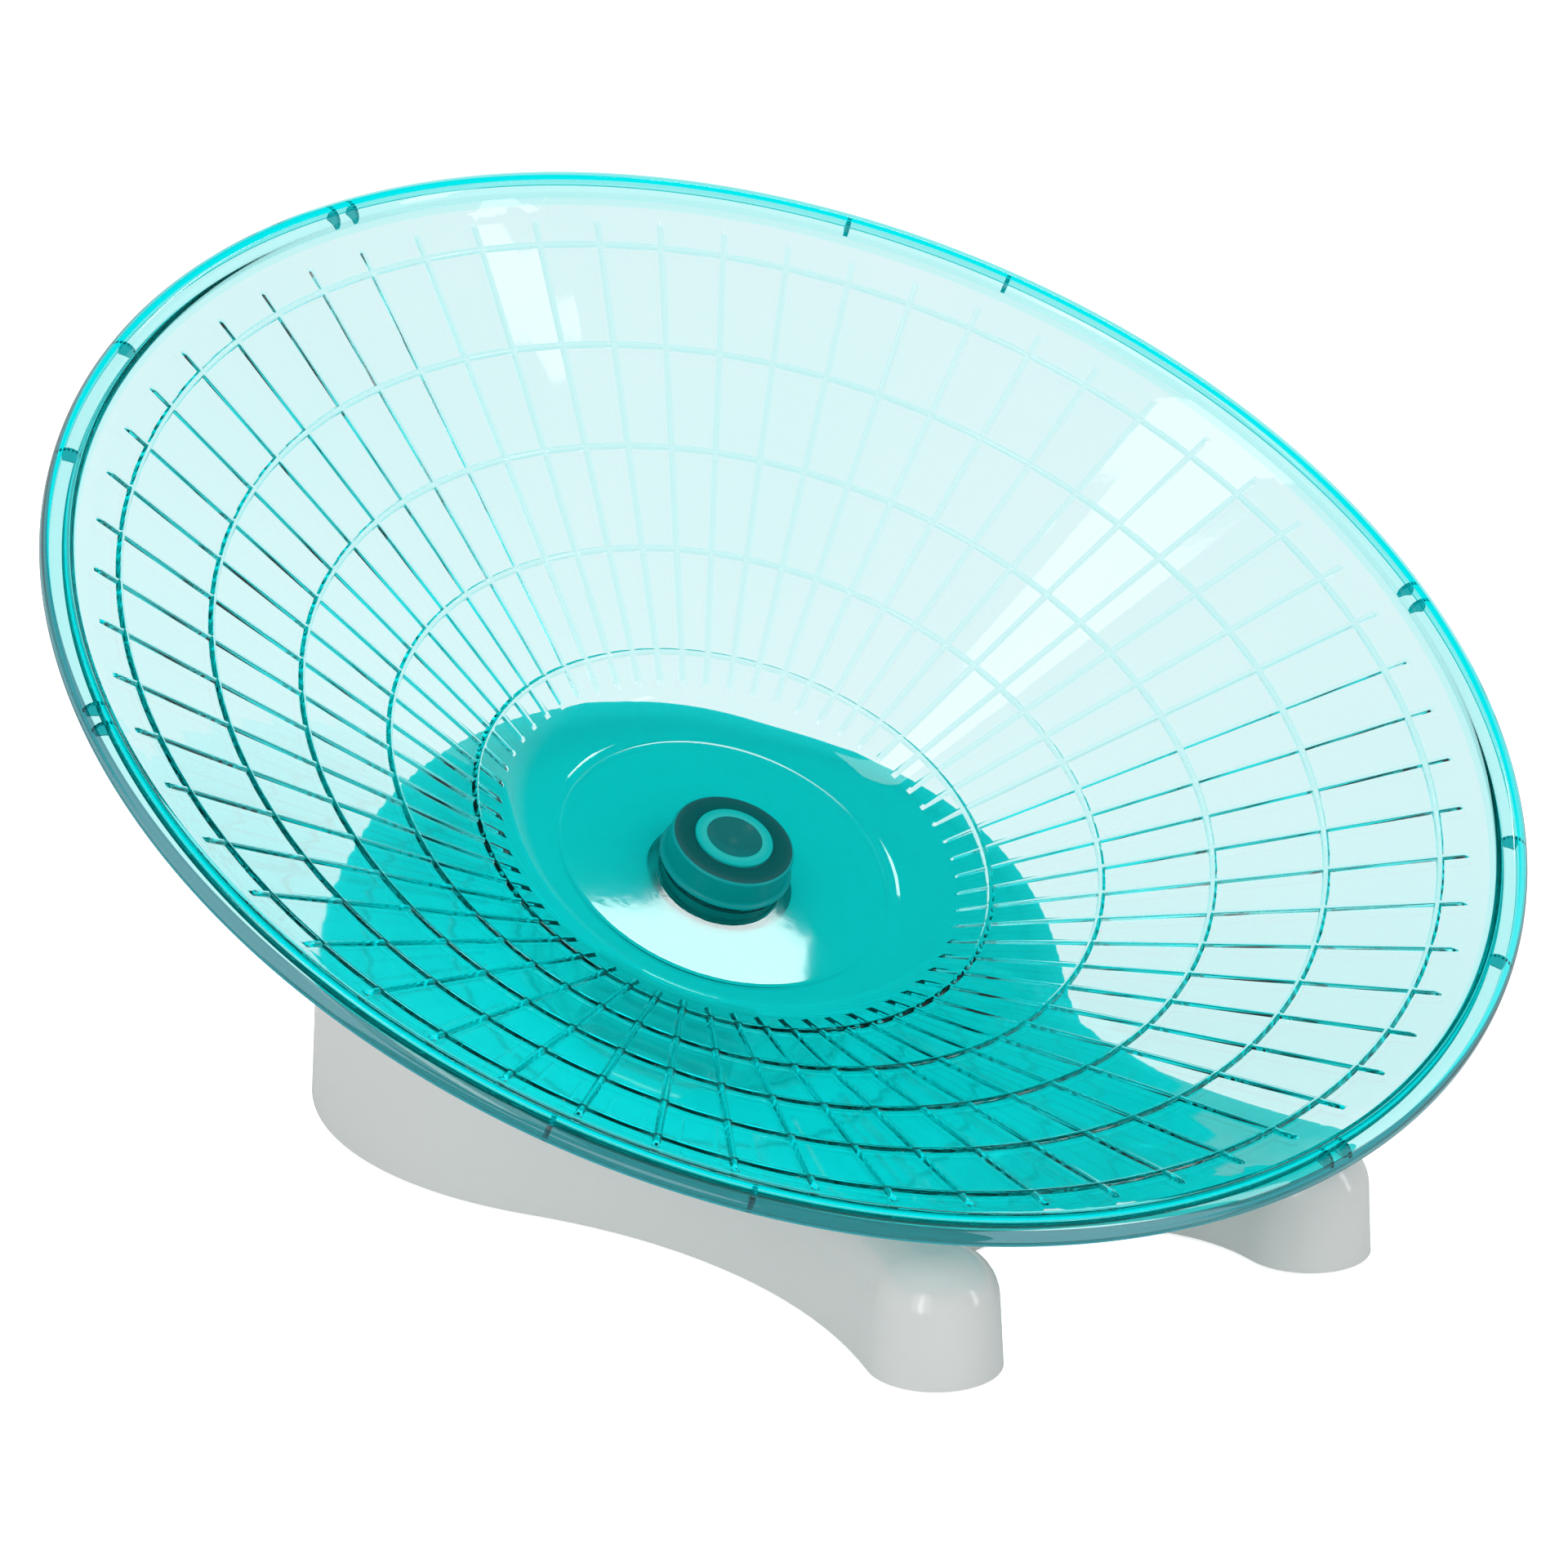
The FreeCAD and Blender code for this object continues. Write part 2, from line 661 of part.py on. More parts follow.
def base_form(name, inset):
    """Drafted block under the deck slope and the toe tops, all faces moved in by `inset`."""
    tilt = size("tilt")
    deck = DECK_LEVEL - inset
    deck_y = size("axis_y") - deck * sine(tilt)
    deck_z = size("axis_height") + deck * cosine(tilt)
    toe_top = size("toe_height") - inset
    instep = size("instep_radius") + inset
    corner_y = deck_y - (deck_z - toe_top) / tangent(tilt)
    run = instep * tangent(tilt / 2)
    front = -(size("toe_reach") + size("toe_radius") * 2)
    rear = size("rear_y") + size("rear_radius") + size("base_wall")
    tall = deck_z + (rear - deck_y) * tangent(tilt)
    body = new_body(name)
    plan = new_sketch(body, "XY_Plane", f"{name}_plan")
    bind(plan, "AttachmentOffset.Base.z", size("pad_proud"))
    outline(plan, base_outline(inset))
    block = extrude(body, f"{name}_block", plan, tall)
    bind(block, "TaperAngle", -size("draft"))
    side = new_sketch(body, "YZ_Plane", f"{name}_top")
    outline(side, [
        (front, toe_top),
        (corner_y - run, toe_top, instep, 1),
        (corner_y + run * cosine(tilt), toe_top + run * sine(tilt)),
        (rear, tall),
        (rear, tall * 2),
        (front, tall * 2),
    ])
    extrude(body, f"{name}_clear", side, size("rear_radius") * 4, symmetric=True, cut=True)
    return body


def shoulder_edges(shape, inset):
    """Top edges with the rounding at each end: widest round the rear, easing to the toes and the arch."""
    full = size("heel_shoulder").number - inset.number
    wide = size("shoulder").number - inset.number
    small = size("toe_shoulder").number - inset.number
    flat = size("toe_height").number - inset.number
    spread = size("toe_spread").number
    toe_y = -size("toe_reach").number
    rear_y = size("rear_y").number
    ease = size("axis_y").number - toe_y
    close = 0.01

    def rounding(point):
        if abs(point.x) < spread and point.z < flat + close:
            return small
        if point.y > rear_y:
            return full
        share = (point.y - toe_y) / ease
        return small + (wide - small) * min(max(share, 0.0), 1.0)

    chosen = []
    leading = None
    for number, edge in enumerate(shape.Edges, start=1):
        box = edge.BoundBox
        across = box.YLength < close and box.ZLength < close
        if box.ZMin < flat - close or across:
            continue
        ends = [edge.valueAt(edge.FirstParameter), edge.valueAt(edge.LastParameter)]
        # all edges list their ends in the same sense round the base as the first one
        sense = ends[0].x * ends[1].y - ends[0].y * ends[1].x
        leading = leading or sense
        if sense * leading < 0:
            ends.reverse()
        chosen.append((number, rounding(ends[0]), rounding(ends[1])))
    return chosen


def rounded_base(name, inset):
    form = base_form(f"{name}_form", inset)
    rounded = DOC.addObject("Part::Fillet", name)
    rounded.Base = form
    rounded.Edges = shoulder_edges(form.Shape, inset)
    DOC.recompute()
    return rounded


def post(name, x, y, radius, bottom, height):
    """Upright cylinder that stands at (x, y)."""
    cylinder = DOC.addObject("Part::Cylinder", name)
    bind(cylinder, "Radius", radius)
    bind(cylinder, "Height", height)
    bind(cylinder, "Placement.Base.x", x)
    bind(cylinder, "Placement.Base.y", y)
    bind(cylinder, "Placement.Base.z", bottom)
    return cylinder


def axis_post(name, radius, bottom, top):
    """Cylinder round the spin axis between two levels."""
    body = new_body(name)
    revolve(body, f"{name}_turn", [(ZERO, bottom), (radius, bottom), (radius, top), (ZERO, top)])
    stand_on_axis(body)
    return body


def brace(name, length_x, length_y, y):
    """Upright stiffening rib inside the base, centred on (0, y)."""
    box = DOC.addObject("Part::Box", name)
    bind(box, "Length", length_x)
    bind(box, "Width", length_y)
    bind(box, "Height", size("rear_radius") * 2)
    bind(box, "Placement.Base.x", -length_x / 2)
    bind(box, "Placement.Base.y", y - length_y / 2)
    bind(box, "Placement.Base.z", size("brace_height"))
    return box


def join(kind, name, *pieces):
    """Boolean of whole pieces: MultiFuse and MultiCommon take any number, Cut takes two."""
    result = DOC.addObject(f"Part::{kind}", name)
    if kind == "Cut":
        result.Base, result.Tool = pieces
    else:
        result.Shapes = list(pieces)
    return result


def pad_places():
    """Rubber feet: under both toes and under both sides of the rear."""
    toe_y = -size("toe_reach")
    reach = size("rear_radius") - size("heel_inset")
    heel_x = reach * cosine(size("heel_angle"))
    heel_y = size("rear_y") + reach * sine(size("heel_angle"))
    return {
        "front_left": (-size("toe_spread"), toe_y),
        "front_right": (size("toe_spread"), toe_y),
        "rear_left": (-heel_x, heel_y),
        "rear_right": (heel_x, heel_y),
    }


def make_base():
    outer = rounded_base("base_outer", ZERO)
    cavity = rounded_base("base_cavity", size("base_wall"))
    shell = join("Cut", "base_walls", outer, cavity)
    wall = size("base_wall")
    length = size("rear_radius") * 4
    cup = axis_post("well_cup", size("well_radius") + wall, WELL_FLOOR - wall, DECK_LEVEL)
    braces = [
        brace("brace_along", size("brace_wall"), length, ZERO),
        brace("brace_across", length, size("brace_wall"), size("axis_y") - BOSS_BOTTOM * sine(size("tilt"))),
    ]
    posts = []
    recesses = []
    for place, (x, y) in pad_places().items():
        socket = size("pad_radius") + size("pad_play")
        radius = socket + size("pad_cup_wall")
        depth = size("pad_height") - size("pad_proud")
        posts.append(post(f"pad_post_{place}", x, y, radius, size("pad_proud"), size("rear_radius") * 2))
        recesses.append(post(f"pad_recess_{place}", x, y, socket, size("pad_proud"), depth))
    inside = join("MultiFuse", "base_stiffening", cup, *braces, *posts)
    trimmed = join("MultiCommon", "base_inside", outer, inside)
    stiff = join("MultiFuse", "base_stiff", shell, trimmed)
    well = axis_post("deck_well", size("well_radius"), WELL_FLOOR, DECK_LEVEL + wall)
    access = axis_post("screw_access", size("washer_radius") + wall, BOSS_BOTTOM - length, BOSS_BOTTOM)
    hollow = join("Cut", "base_open", stiff, join("MultiFuse", "base_cuts", well, access, *recesses))
    boss = axis_post("axle_boss", size("boss_radius"), BOSS_BOTTOM, BOSS_TOP)
    bored = join("MultiFuse", "base_bossed", hollow, boss)
    bore = axis_post("axle_bore", size("bearing_bore"), BOSS_BOTTOM - wall, BOSS_TOP + wall)
    base = join("Cut", "base_shell", bored, bore)
    base.Label = "base_shell"
    DOC.recompute()
    return base


def make_pads():
    pads = []
    for place, (x, y) in pad_places().items():
        name = f"rubber_foot_{place}"
        pad = post(name, x, y, size("pad_radius"), ZERO, size("pad_height"))
        pad.Label = name
        pads.append(pad)
    return pads


# Build, check and write every piece

def main():
    pieces = [make_dish(), *make_bearing(), *make_axle_set(), make_base(), *make_pads()]
    DOC.recompute()
    for item in DOC.Objects:
        if "Invalid" in item.State or "Error" in item.State:
            raise RuntimeError(f"{item.Name} failed: {item.State}")
    for piece in pieces:
        if piece.Shape.isNull() or not piece.Shape.isValid():
            raise RuntimeError(f"{piece.Label} has no valid shape")
    os.makedirs("parts", exist_ok=True)
    for piece in pieces:
        piece.Shape.exportStep(os.path.join("parts", f"{piece.Label}.step"))
        box = piece.Shape.BoundBox
        print(f"{piece.Label}: {len(piece.Shape.Solids)} solid, {piece.Shape.Volume:.0f} mm3, "
              f"X {box.XMin:.1f}..{box.XMax:.1f} Y {box.YMin:.1f}..{box.YMax:.1f} Z {box.ZMin:.1f}..{box.ZMax:.1f}")


if __name__ == "__main__":
    main()
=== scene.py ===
# %% [markdown]
# # A running disc for small pets
# The object is a clear teal dish that spins on a tilted ball bearing over an off-white base with two toes.
# The CAD frame holds every piece at its real size. This lesson adds what the eye judges: a finely rounded
# dish with its grid of ribs, smooth mouldings, finishes, light and the camera.

# %% Load the frame
import json
import math

import bmesh
import bpy
from mathutils import Matrix, Quaternion, Vector


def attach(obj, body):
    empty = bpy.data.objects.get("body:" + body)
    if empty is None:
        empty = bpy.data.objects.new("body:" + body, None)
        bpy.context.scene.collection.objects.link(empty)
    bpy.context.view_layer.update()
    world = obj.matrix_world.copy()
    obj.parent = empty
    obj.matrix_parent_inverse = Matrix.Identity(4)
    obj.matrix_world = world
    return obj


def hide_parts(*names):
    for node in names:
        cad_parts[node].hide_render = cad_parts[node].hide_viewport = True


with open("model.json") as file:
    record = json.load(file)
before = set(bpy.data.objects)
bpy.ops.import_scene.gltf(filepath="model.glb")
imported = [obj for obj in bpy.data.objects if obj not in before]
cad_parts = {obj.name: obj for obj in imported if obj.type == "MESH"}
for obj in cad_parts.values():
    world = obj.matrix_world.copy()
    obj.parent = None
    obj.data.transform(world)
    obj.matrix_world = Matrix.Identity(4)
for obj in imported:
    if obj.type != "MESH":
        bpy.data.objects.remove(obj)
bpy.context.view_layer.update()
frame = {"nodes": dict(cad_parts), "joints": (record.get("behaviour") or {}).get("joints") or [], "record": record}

nodes = frame["nodes"]
joints = {joint["name"]: joint for joint in frame["joints"]}
slots = {entry["node"]: entry["material_slot"] for entry in frame["record"]["subparts"]}

# %% [markdown]
# The camera comes first, because every later choice is judged through it. Its place and its long lens were
# solved from the ellipses of the rim and of the ring ribs, so they are set once and left alone.

# %% Camera
MM = 0.001
CAMERA_PLACE = Vector((-542.8, -744.1, 378.2)) * MM
CAMERA_ELEVATION = math.radians(18.218)
CAMERA_AZIMUTH = math.radians(35.863)
LENS = 113.2
SENSOR = 36.0
NEAREST_VIEW = 0.01

camera_data = bpy.data.cameras.new("camera")
camera_data.lens = LENS
camera_data.sensor_width = SENSOR
camera_data.clip_start = NEAREST_VIEW
camera = bpy.data.objects.new("camera", camera_data)
camera.location = CAMERA_PLACE
camera.rotation_euler = (math.pi / 2 - CAMERA_ELEVATION, 0.0, -CAMERA_AZIMUTH)
bpy.context.scene.collection.objects.link(camera)
bpy.context.scene.camera = camera
print("camera at", tuple(round(c, 3) for c in camera.location))

# %% [markdown]
# The dish and everything in its hub are round about one tilted axis. They are modelled upright, with the
# floor of the dish at height zero, and one matrix carries the finished mesh to its place. The matrix is read
# from the joint of the frame, so the mesh turns about exactly the axle that the CAD model has.

# %% The spin axis
spin = joints["disc_spin"]
axis = Vector(spin["axis"])
TILT = math.atan2(-axis.y, axis.z)
ON_AXIS = Matrix.Translation(Vector(spin["pos_m"])) @ Matrix.Rotation(TILT, 4, "X")
print("axle tilted by", round(math.degrees(TILT), 1), "degrees")

# %% [markdown]
# ## The dish
# The real dish is one clear moulding: hub, flat floor, conical running wall and rolled lip. It could be
# turned in one spin, but the wall carries a grid of ribs, and the radial ones keep the same width from floor
# to lip. So one sixtieth of the dish is turned, with a rib along its middle, and then repeated round the
# axis. First come the sizes, and a helper that rounds the corners of an outline as a mould would.

# %% Sizes of the dish
WALL = 2.0 * MM
CONE = math.radians(28.7)
FLOOR_RADIUS = 34.4 * MM
FLOOR_STEP = 0.4 * MM
BEND = 25.0 * MM
RIM = 150.0 * MM
LIP = 3.2 * MM
LIP_WALL = 1.6 * MM
LIP_RISE = 0.2 * MM
LIP_DROP = 1.1 * MM
HUB_RADIUS = 12.85 * MM
HUB_HEIGHT = 6.0 * MM
HUB_DROP = 7.0 * MM
HUB_FILLET = 1.0 * MM
CROWN_OUTER = 8.1 * MM
CROWN_INNER = 5.8 * MM
CROWN_HEIGHT = 0.9 * MM
GATE_DIP = 0.4 * MM
BORE = 11.0 * MM
SEAT = 3.0 * MM
RELIEF_RADIUS = 7.0 * MM
RELIEF_LEVEL = 4.4 * MM
SECTORS = 60
RIB_PHASE = math.radians(4.54)

LEDGE = FLOOR_RADIUS + FLOOR_STEP
WALL_FOOT = LEDGE + BEND * math.tan(CONE / 2)
LIP_INNER = RIM - 2 * LIP
LIP_MIDDLE = RIM - LIP
LIP_HOLLOW = LIP - LIP_WALL
print("running wall from", round(WALL_FOOT / MM, 1), "to", round(LIP_INNER / MM, 1), "mm")

# %% Points of the wall and rounded corners


def wall_level(radius):
    """The height of the running wall at a radius."""
    return FLOOR_STEP + (radius - WALL_FOOT) * math.tan(CONE)


def on_wall(along, above):
    """The point above the running wall, square to it, over the wall point at a radius."""
    return along - above * math.sin(CONE), wall_level(along) + above * math.cos(CONE)


def rounded(corners):
    """Turns (radius, height, rounding, steps) corners into points; a plain corner has no rounding."""
    points = []
    for number, corner in enumerate(corners):
        here = Vector(corner[:2])
        if len(corner) == 2:
            points.append(here)
            continue
        rounding, steps = corner[2:]
        back = (Vector(corners[number - 1][:2]) - here).normalized()
        on = (Vector(corners[number + 1][:2]) - here).normalized()
        half = back.angle(on) / 2
        centre = here + (back + on).normalized() * (rounding / math.sin(half))
        start = here + back * (rounding / math.tan(half)) - centre
        turn = start.angle_signed(here + on * (rounding / math.tan(half)) - centre)
        for step in range(steps + 1):
            points.append(centre + Matrix.Rotation(-turn * step / steps, 2) @ start)
    return points


lip_level = wall_level(LIP_INNER) + LIP_RISE
print("lip centre", round(lip_level / MM, 2), "mm above the floor of the dish")

# %% [markdown]
# The outline runs from the dimple in the middle of the hub over the crown, floor, wall and lip, and back
# along the underside into the bearing seat. Where ring ribs cross the wall it rises and falls in a low
# rounded bump. A row of the dimple is a share of the crown's inner radius and a share of the dimple's depth.

# %% Outline of the hub
DIMPLE = [(0.0, 1.0), (0.3, 0.92), (0.6, 0.64), (0.85, 0.28)]
CROWN_ROUND = 0.3 * MM
CROWN_FILLET = 0.25 * MM
HUB_ROUND = 0.6 * MM
FLOOR_ROUND = 0.3 * MM


def hub_outline():
    """The hub from its dimple down to the floor."""
    crown_top = HUB_HEIGHT + CROWN_HEIGHT
    depth = CROWN_HEIGHT + GATE_DIP
    dimple = [(reach * CROWN_INNER, crown_top - share * depth) for reach, share in DIMPLE]
    return dimple + [
        (CROWN_INNER, crown_top, CROWN_FILLET, 2),
        (CROWN_OUTER, crown_top, CROWN_ROUND, 3),
        (CROWN_OUTER, HUB_HEIGHT, CROWN_FILLET, 2),
        (HUB_RADIUS, HUB_HEIGHT, HUB_ROUND, 4),
        (HUB_RADIUS, 0.0, HUB_FILLET, 4),
        (0.5 * (HUB_RADIUS + FLOOR_RADIUS), 0.0),
        (FLOOR_RADIUS, 0.0, FLOOR_ROUND, 2),
    ]


print("hub with", len(hub_outline()), "corners")

# %% Outline of the running wall
RING_RADII = [radius * MM for radius in (54.0, 74.0, 94.0, 114.0, 134.0)]
RING_BUMP = [(-0.78, 0.0), (-0.55, 0.3), (-0.36, 0.7), (0.0, 0.8), (0.36, 0.7), (0.55, 0.3), (0.78, 0.0)]
RIB_SPAN = (48.0 * MM, 138.7 * MM)
RIB_TAPER = 0.6 * MM
BEND_STEPS = 8


def bend_outline(radius):
    """The bend from floor to wall; both skins of the dish have the same centre there."""
    turns = [CONE * step / BEND_STEPS for step in range(BEND_STEPS + 1)]
    centre = FLOOR_STEP + BEND
    return [(LEDGE + radius * math.sin(turn), centre - radius * math.cos(turn)) for turn in turns]


def wall_outline():
    """The bend and the running wall, with a bump at every ring rib."""
    rows = [(end + side * RIB_TAPER, 0.0) for end in RIB_SPAN for side in (-1, 0, 1)]
    for radius in RING_RADII:
        rows += [(radius + along * MM * math.cos(CONE), above * MM) for along, above in RING_BUMP]
    return bend_outline(BEND) + [on_wall(along, above) for along, above in sorted(rows)]


print(len(RING_RADII), "ring ribs on the wall")

# %% Outline of the lip and the underside
LIP_STEPS = 14
HOLLOW_STEPS = 8
LIP_TUCK = 0.05 * MM
SKIRT_ROUND = 0.35 * MM
HOLLOW_FILLET = 0.4 * MM
SLEEVE_FILLET = 0.5 * MM
SLEEVE_ROUND = 0.4 * MM


def lip_arc(radius, steps):
    """A half circle about the middle of the lip, from its outer side over the top to its inner side."""
    turns = [math.pi * step / steps for step in range(steps + 1)]
    return [(LIP_MIDDLE + radius * math.cos(turn), lip_level + radius * math.sin(turn)) for turn in turns]


def lip_outline():
    """The rolled lip over its round top, down its skirt and back up inside its hollow."""
    skirt = lip_level - LIP_DROP
    hollow_foot = LIP_MIDDLE - LIP_HOLLOW
    return [
        (LIP_INNER, wall_level(LIP_INNER) - LIP_TUCK),
        *reversed(lip_arc(LIP, LIP_STEPS)),
        (RIM, skirt, SKIRT_ROUND, 3),
        (RIM - LIP_WALL, skirt, SKIRT_ROUND, 3),
        *lip_arc(LIP_HOLLOW, HOLLOW_STEPS),
        (hollow_foot, wall_level(hollow_foot) - WALL / math.cos(CONE), HOLLOW_FILLET, 3),
    ]


def underside_outline():
    """The underside of the wall and floor, the hub sleeve and the bearing seat inside it."""
    return bend_outline(BEND + WALL)[::-1] + [
        (FLOOR_RADIUS, -WALL),
        (HUB_RADIUS, -WALL, SLEEVE_FILLET, 2),
        (HUB_RADIUS, -HUB_DROP, SLEEVE_ROUND, 3),
        (BORE, -HUB_DROP, SLEEVE_ROUND, 3),
        (BORE, SEAT),
        (RELIEF_RADIUS, SEAT),
        (RELIEF_RADIUS, RELIEF_LEVEL),
        (0.5 * RELIEF_RADIUS, RELIEF_LEVEL),
        (0.0, RELIEF_LEVEL),
    ]


dish_outline = rounded(hub_outline() + wall_outline() + lip_outline() + underside_outline())
print("outline of", len(dish_outline), "points")

# %% [markdown]
# One sector is a spin of that outline over six degrees. Its columns are then slid together along the middle
# of the running wall, so that they keep the width of a rib at every radius, and the middle ones are lifted.
# Where a ring rib is already higher, the lift does nothing, and the two kinds of rib melt into each other.
# A rib fades out over a short taper, and it is half risen at the end of its span.

# %% One sector with its rib
SECTOR = 2 * math.pi / SECTORS
RIB_ACROSS = [None, None, -0.78, -0.5, -0.3, 0.3, 0.5, 0.78, None, None]
RIB_LIFT = [0.0, 0.0, 0.0, 0.34, 0.6, 0.6, 0.34, 0.0, 0.0, 0.0]
RIB_MARGIN = 1.5 * RIB_TAPER
HALF_RISEN = 0.5
COLUMNS = len(RIB_ACROSS) - 1
FLUSH = 0.001 * MM


def sector_mesh(outline):
    """A sixtieth of the dish, turned about the upright axis."""
    mesh = bmesh.new()
    chain = [mesh.verts.new((point[0], 0.0, point[1])) for point in outline]
    links = [mesh.edges.new(pair) for pair in zip(chain, chain[1:])]
    bmesh.ops.spin(mesh, geom=chain + links, cent=(0, 0, 0), axis=(0, 0, 1), angle=SECTOR, steps=COLUMNS)
    return mesh


def over_wall(point):
    """The radius of the wall point under a point, and the height above it; the underside is below zero."""
    radius = math.hypot(point.x, point.y)
    above = (point.z - wall_level(radius)) * math.cos(CONE)
    return radius + above * math.sin(CONE), above


def on_running_wall(point):
    """True for a point on the ribbed stretch of the wall or on a rib."""
    along, above = over_wall(point)
    return above > -FLUSH and RIB_SPAN[0] - RIB_MARGIN < along < RIB_SPAN[1] + RIB_MARGIN


def raise_rib(mesh):
    """Slides the columns of the wall to the rib's width and lifts the middle ones."""
    for vert in mesh.verts:
        if not on_running_wall(vert.co):
            continue
        radius = math.hypot(vert.co.x, vert.co.y)
        along, above = over_wall(vert.co)
        column = round(math.atan2(vert.co.y, vert.co.x) / SECTOR * COLUMNS)
        reach = min(along - RIB_SPAN[0], RIB_SPAN[1] - along) / RIB_TAPER
        lift = RIB_LIFT[column] * MM * min(max(reach + HALF_RISEN, 0.0), 1.0)
        if lift > above:
            radius -= (lift - above) * math.sin(CONE)
            vert.co.z += (lift - above) * math.cos(CONE)
        across = RIB_ACROSS[column]
        angle = SECTOR * column / COLUMNS
        if across is not None:
            angle = SECTOR / 2 + math.asin(across * MM / radius)
        vert.co.x = radius * math.cos(angle)
        vert.co.y = radius * math.sin(angle)


dish_mesh = sector_mesh(dish_outline)
raise_rib(dish_mesh)
print("sector of", len(dish_mesh.faces), "faces")

# %% [markdown]
# Spin also repeats: with use_duplicate it lays copies round the axis, and merging the doubles joins them
# into one closed skin. Clear plastic shows every fault of its shading, so the feet of the ribs are marked as
# sharp: then the wall between them bends no light that a true cone wouldn't bend. The outside of the hub,
# over the bearing, is marked as well, because it gets an opaque skin with painted shade and painted light.

# %% Repeat the sector
SEAM_GAP = 0.004 * MM
FOOT_ANGLE = math.radians(15)
# The index of the hub's opaque skin, which carries painted shade and painted light.
PAINTED_HUB_SKIN = 2


def repeat_sector(mesh):
    """Lays the sector round the axis and joins the seams."""
    bmesh.ops.rotate(mesh, verts=mesh.verts, cent=(0, 0, 0),
                     matrix=Matrix.Rotation(RIB_PHASE - SECTOR / 2, 3, "Z"))
    bmesh.ops.spin(mesh, geom=mesh.verts[:] + mesh.edges[:] + mesh.faces[:], cent=(0, 0, 0), axis=(0, 0, 1),
                   angle=SECTOR * (SECTORS - 1), steps=SECTORS - 1, use_duplicate=True)
    bmesh.ops.remove_doubles(mesh, verts=mesh.verts, dist=SEAM_GAP)
    bmesh.ops.recalc_face_normals(mesh, faces=mesh.faces)


def crease_feet(mesh):
    """Marks the edges where a rib rises from the wall."""
    for edge in mesh.edges:
        at_foot = all(on_running_wall(vert.co) and over_wall(vert.co)[1] < FLUSH for vert in edge.verts)
        if at_foot and edge.calc_face_angle(0.0) > FOOT_ANGLE:
            edge.smooth = False


def dress_hub(mesh):
    """Marks the outside of the hub, above the floor of the dish, for its opaque skin of painted shade and light.
    """
    half_sleeve = 0.5 * (BORE + HUB_RADIUS)
    half_lid = 0.5 * (RELIEF_LEVEL + HUB_HEIGHT)
    for face in mesh.faces:
        middle = face.calc_center_median()
        radius = math.hypot(middle.x, middle.y)
        on_side = half_sleeve < radius < HUB_RADIUS + HUB_FILLET and middle.z > FLUSH
        on_top = radius < HUB_RADIUS and middle.z > half_lid
        if on_side or on_top:
            face.material_index = PAINTED_HUB_SKIN


repeat_sector(dish_mesh)
crease_feet(dish_mesh)
dress_hub(dish_mesh)
print("skin of", len(dish_mesh.faces), "faces")

# %% [markdown]
# The hollow lip is stiffened by thin webs, four pairs and eight single ones. They could be cut from the lip's
# own outline, but a small plate that fills the hollow, a hair smaller than it, is simpler. It starts as a
# circle, and its lower half is pulled to the square foot that the skirt has.

# %% Webs of the lip
WEB_WIDTH = 0.9 * MM
WEB_PAIRS = [-79.5, -7.5, 100.5, 172.5]
WEB_SINGLES = [-140.7, -126.3, -50.7, -36.3, 39.3, 53.7, 129.3, 143.7]
WEB_PAIR_HALF = 1.0
WEB_PLAY = 0.01 * MM
WEB_STEPS = 24
WEB_SQUARENESS = 2.5
WEB_FINISH = 1


def add_web(mesh, azimuth):
    """One thin plate across the hollow of the lip."""
    inner = LIP_HOLLOW - WEB_PLAY
    plate = bmesh.ops.create_circle(mesh, cap_ends=True, segments=WEB_STEPS, radius=inner)["verts"]
    for vert in plate:
        if vert.co.y < 0:
            vert.co.y = -LIP_DROP * min(1.0, -WEB_SQUARENESS * vert.co.y / inner)
    grown = bmesh.ops.extrude_face_region(mesh, geom=plate[0].link_faces[:])["geom"]
    far = [item for item in grown if isinstance(item, bmesh.types.BMVert)]
    bmesh.ops.translate(mesh, verts=far, vec=(0, 0, WEB_WIDTH))
    solid = plate + far
    upright = Matrix.Rotation(math.pi / 2, 3, "X")
    round_axis = Matrix.Rotation(math.radians(azimuth), 3, "Z")
    bmesh.ops.translate(mesh, verts=solid, vec=(0, 0, -WEB_WIDTH / 2))
    bmesh.ops.rotate(mesh, verts=solid, cent=(0, 0, 0), matrix=upright)
    bmesh.ops.translate(mesh, verts=solid, vec=(LIP_MIDDLE, 0, lip_level))
    bmesh.ops.rotate(mesh, verts=solid, cent=(0, 0, 0), matrix=round_axis)
    faces = list({face for vert in solid for face in vert.link_faces})
    bmesh.ops.recalc_face_normals(mesh, faces=faces)
    for face in faces:
        face.material_index = WEB_FINISH


paired = [middle + side * WEB_PAIR_HALF for middle in WEB_PAIRS for side in (-1, 1)]
for azimuth in paired + WEB_SINGLES:
    add_web(dish_mesh, azimuth)
print(len(paired + WEB_SINGLES), "webs in the lip")

# %% [markdown]
# The finished mesh is carried to the tilted axis and becomes a piece. A piece rides on a body of the frame,
# and the CAD node that it stands for is hidden. The weighted normals let the wide faces decide the shading,
# so that the small roundings beside them catch light as on a polished moulding.

# %% The dish as a piece


def add_piece(name, mesh_data, body, slot, *replaced):
    """Links a finished mesh, lets it ride on a body and hides the CAD nodes it stands for."""
    piece = bpy.data.objects.new(name, mesh_data)
    bpy.context.scene.collection.objects.link(piece)
    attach(piece, body)
    if replaced:
        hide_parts(*replaced)
    return piece


def settle_normals(piece):
    """Lets the large faces of a piece decide how the small roundings beside them are shaded."""
    piece.data.shade_smooth()
    weighted = piece.modifiers.new("settled_normals", "WEIGHTED_NORMAL")
    weighted.keep_sharp = True


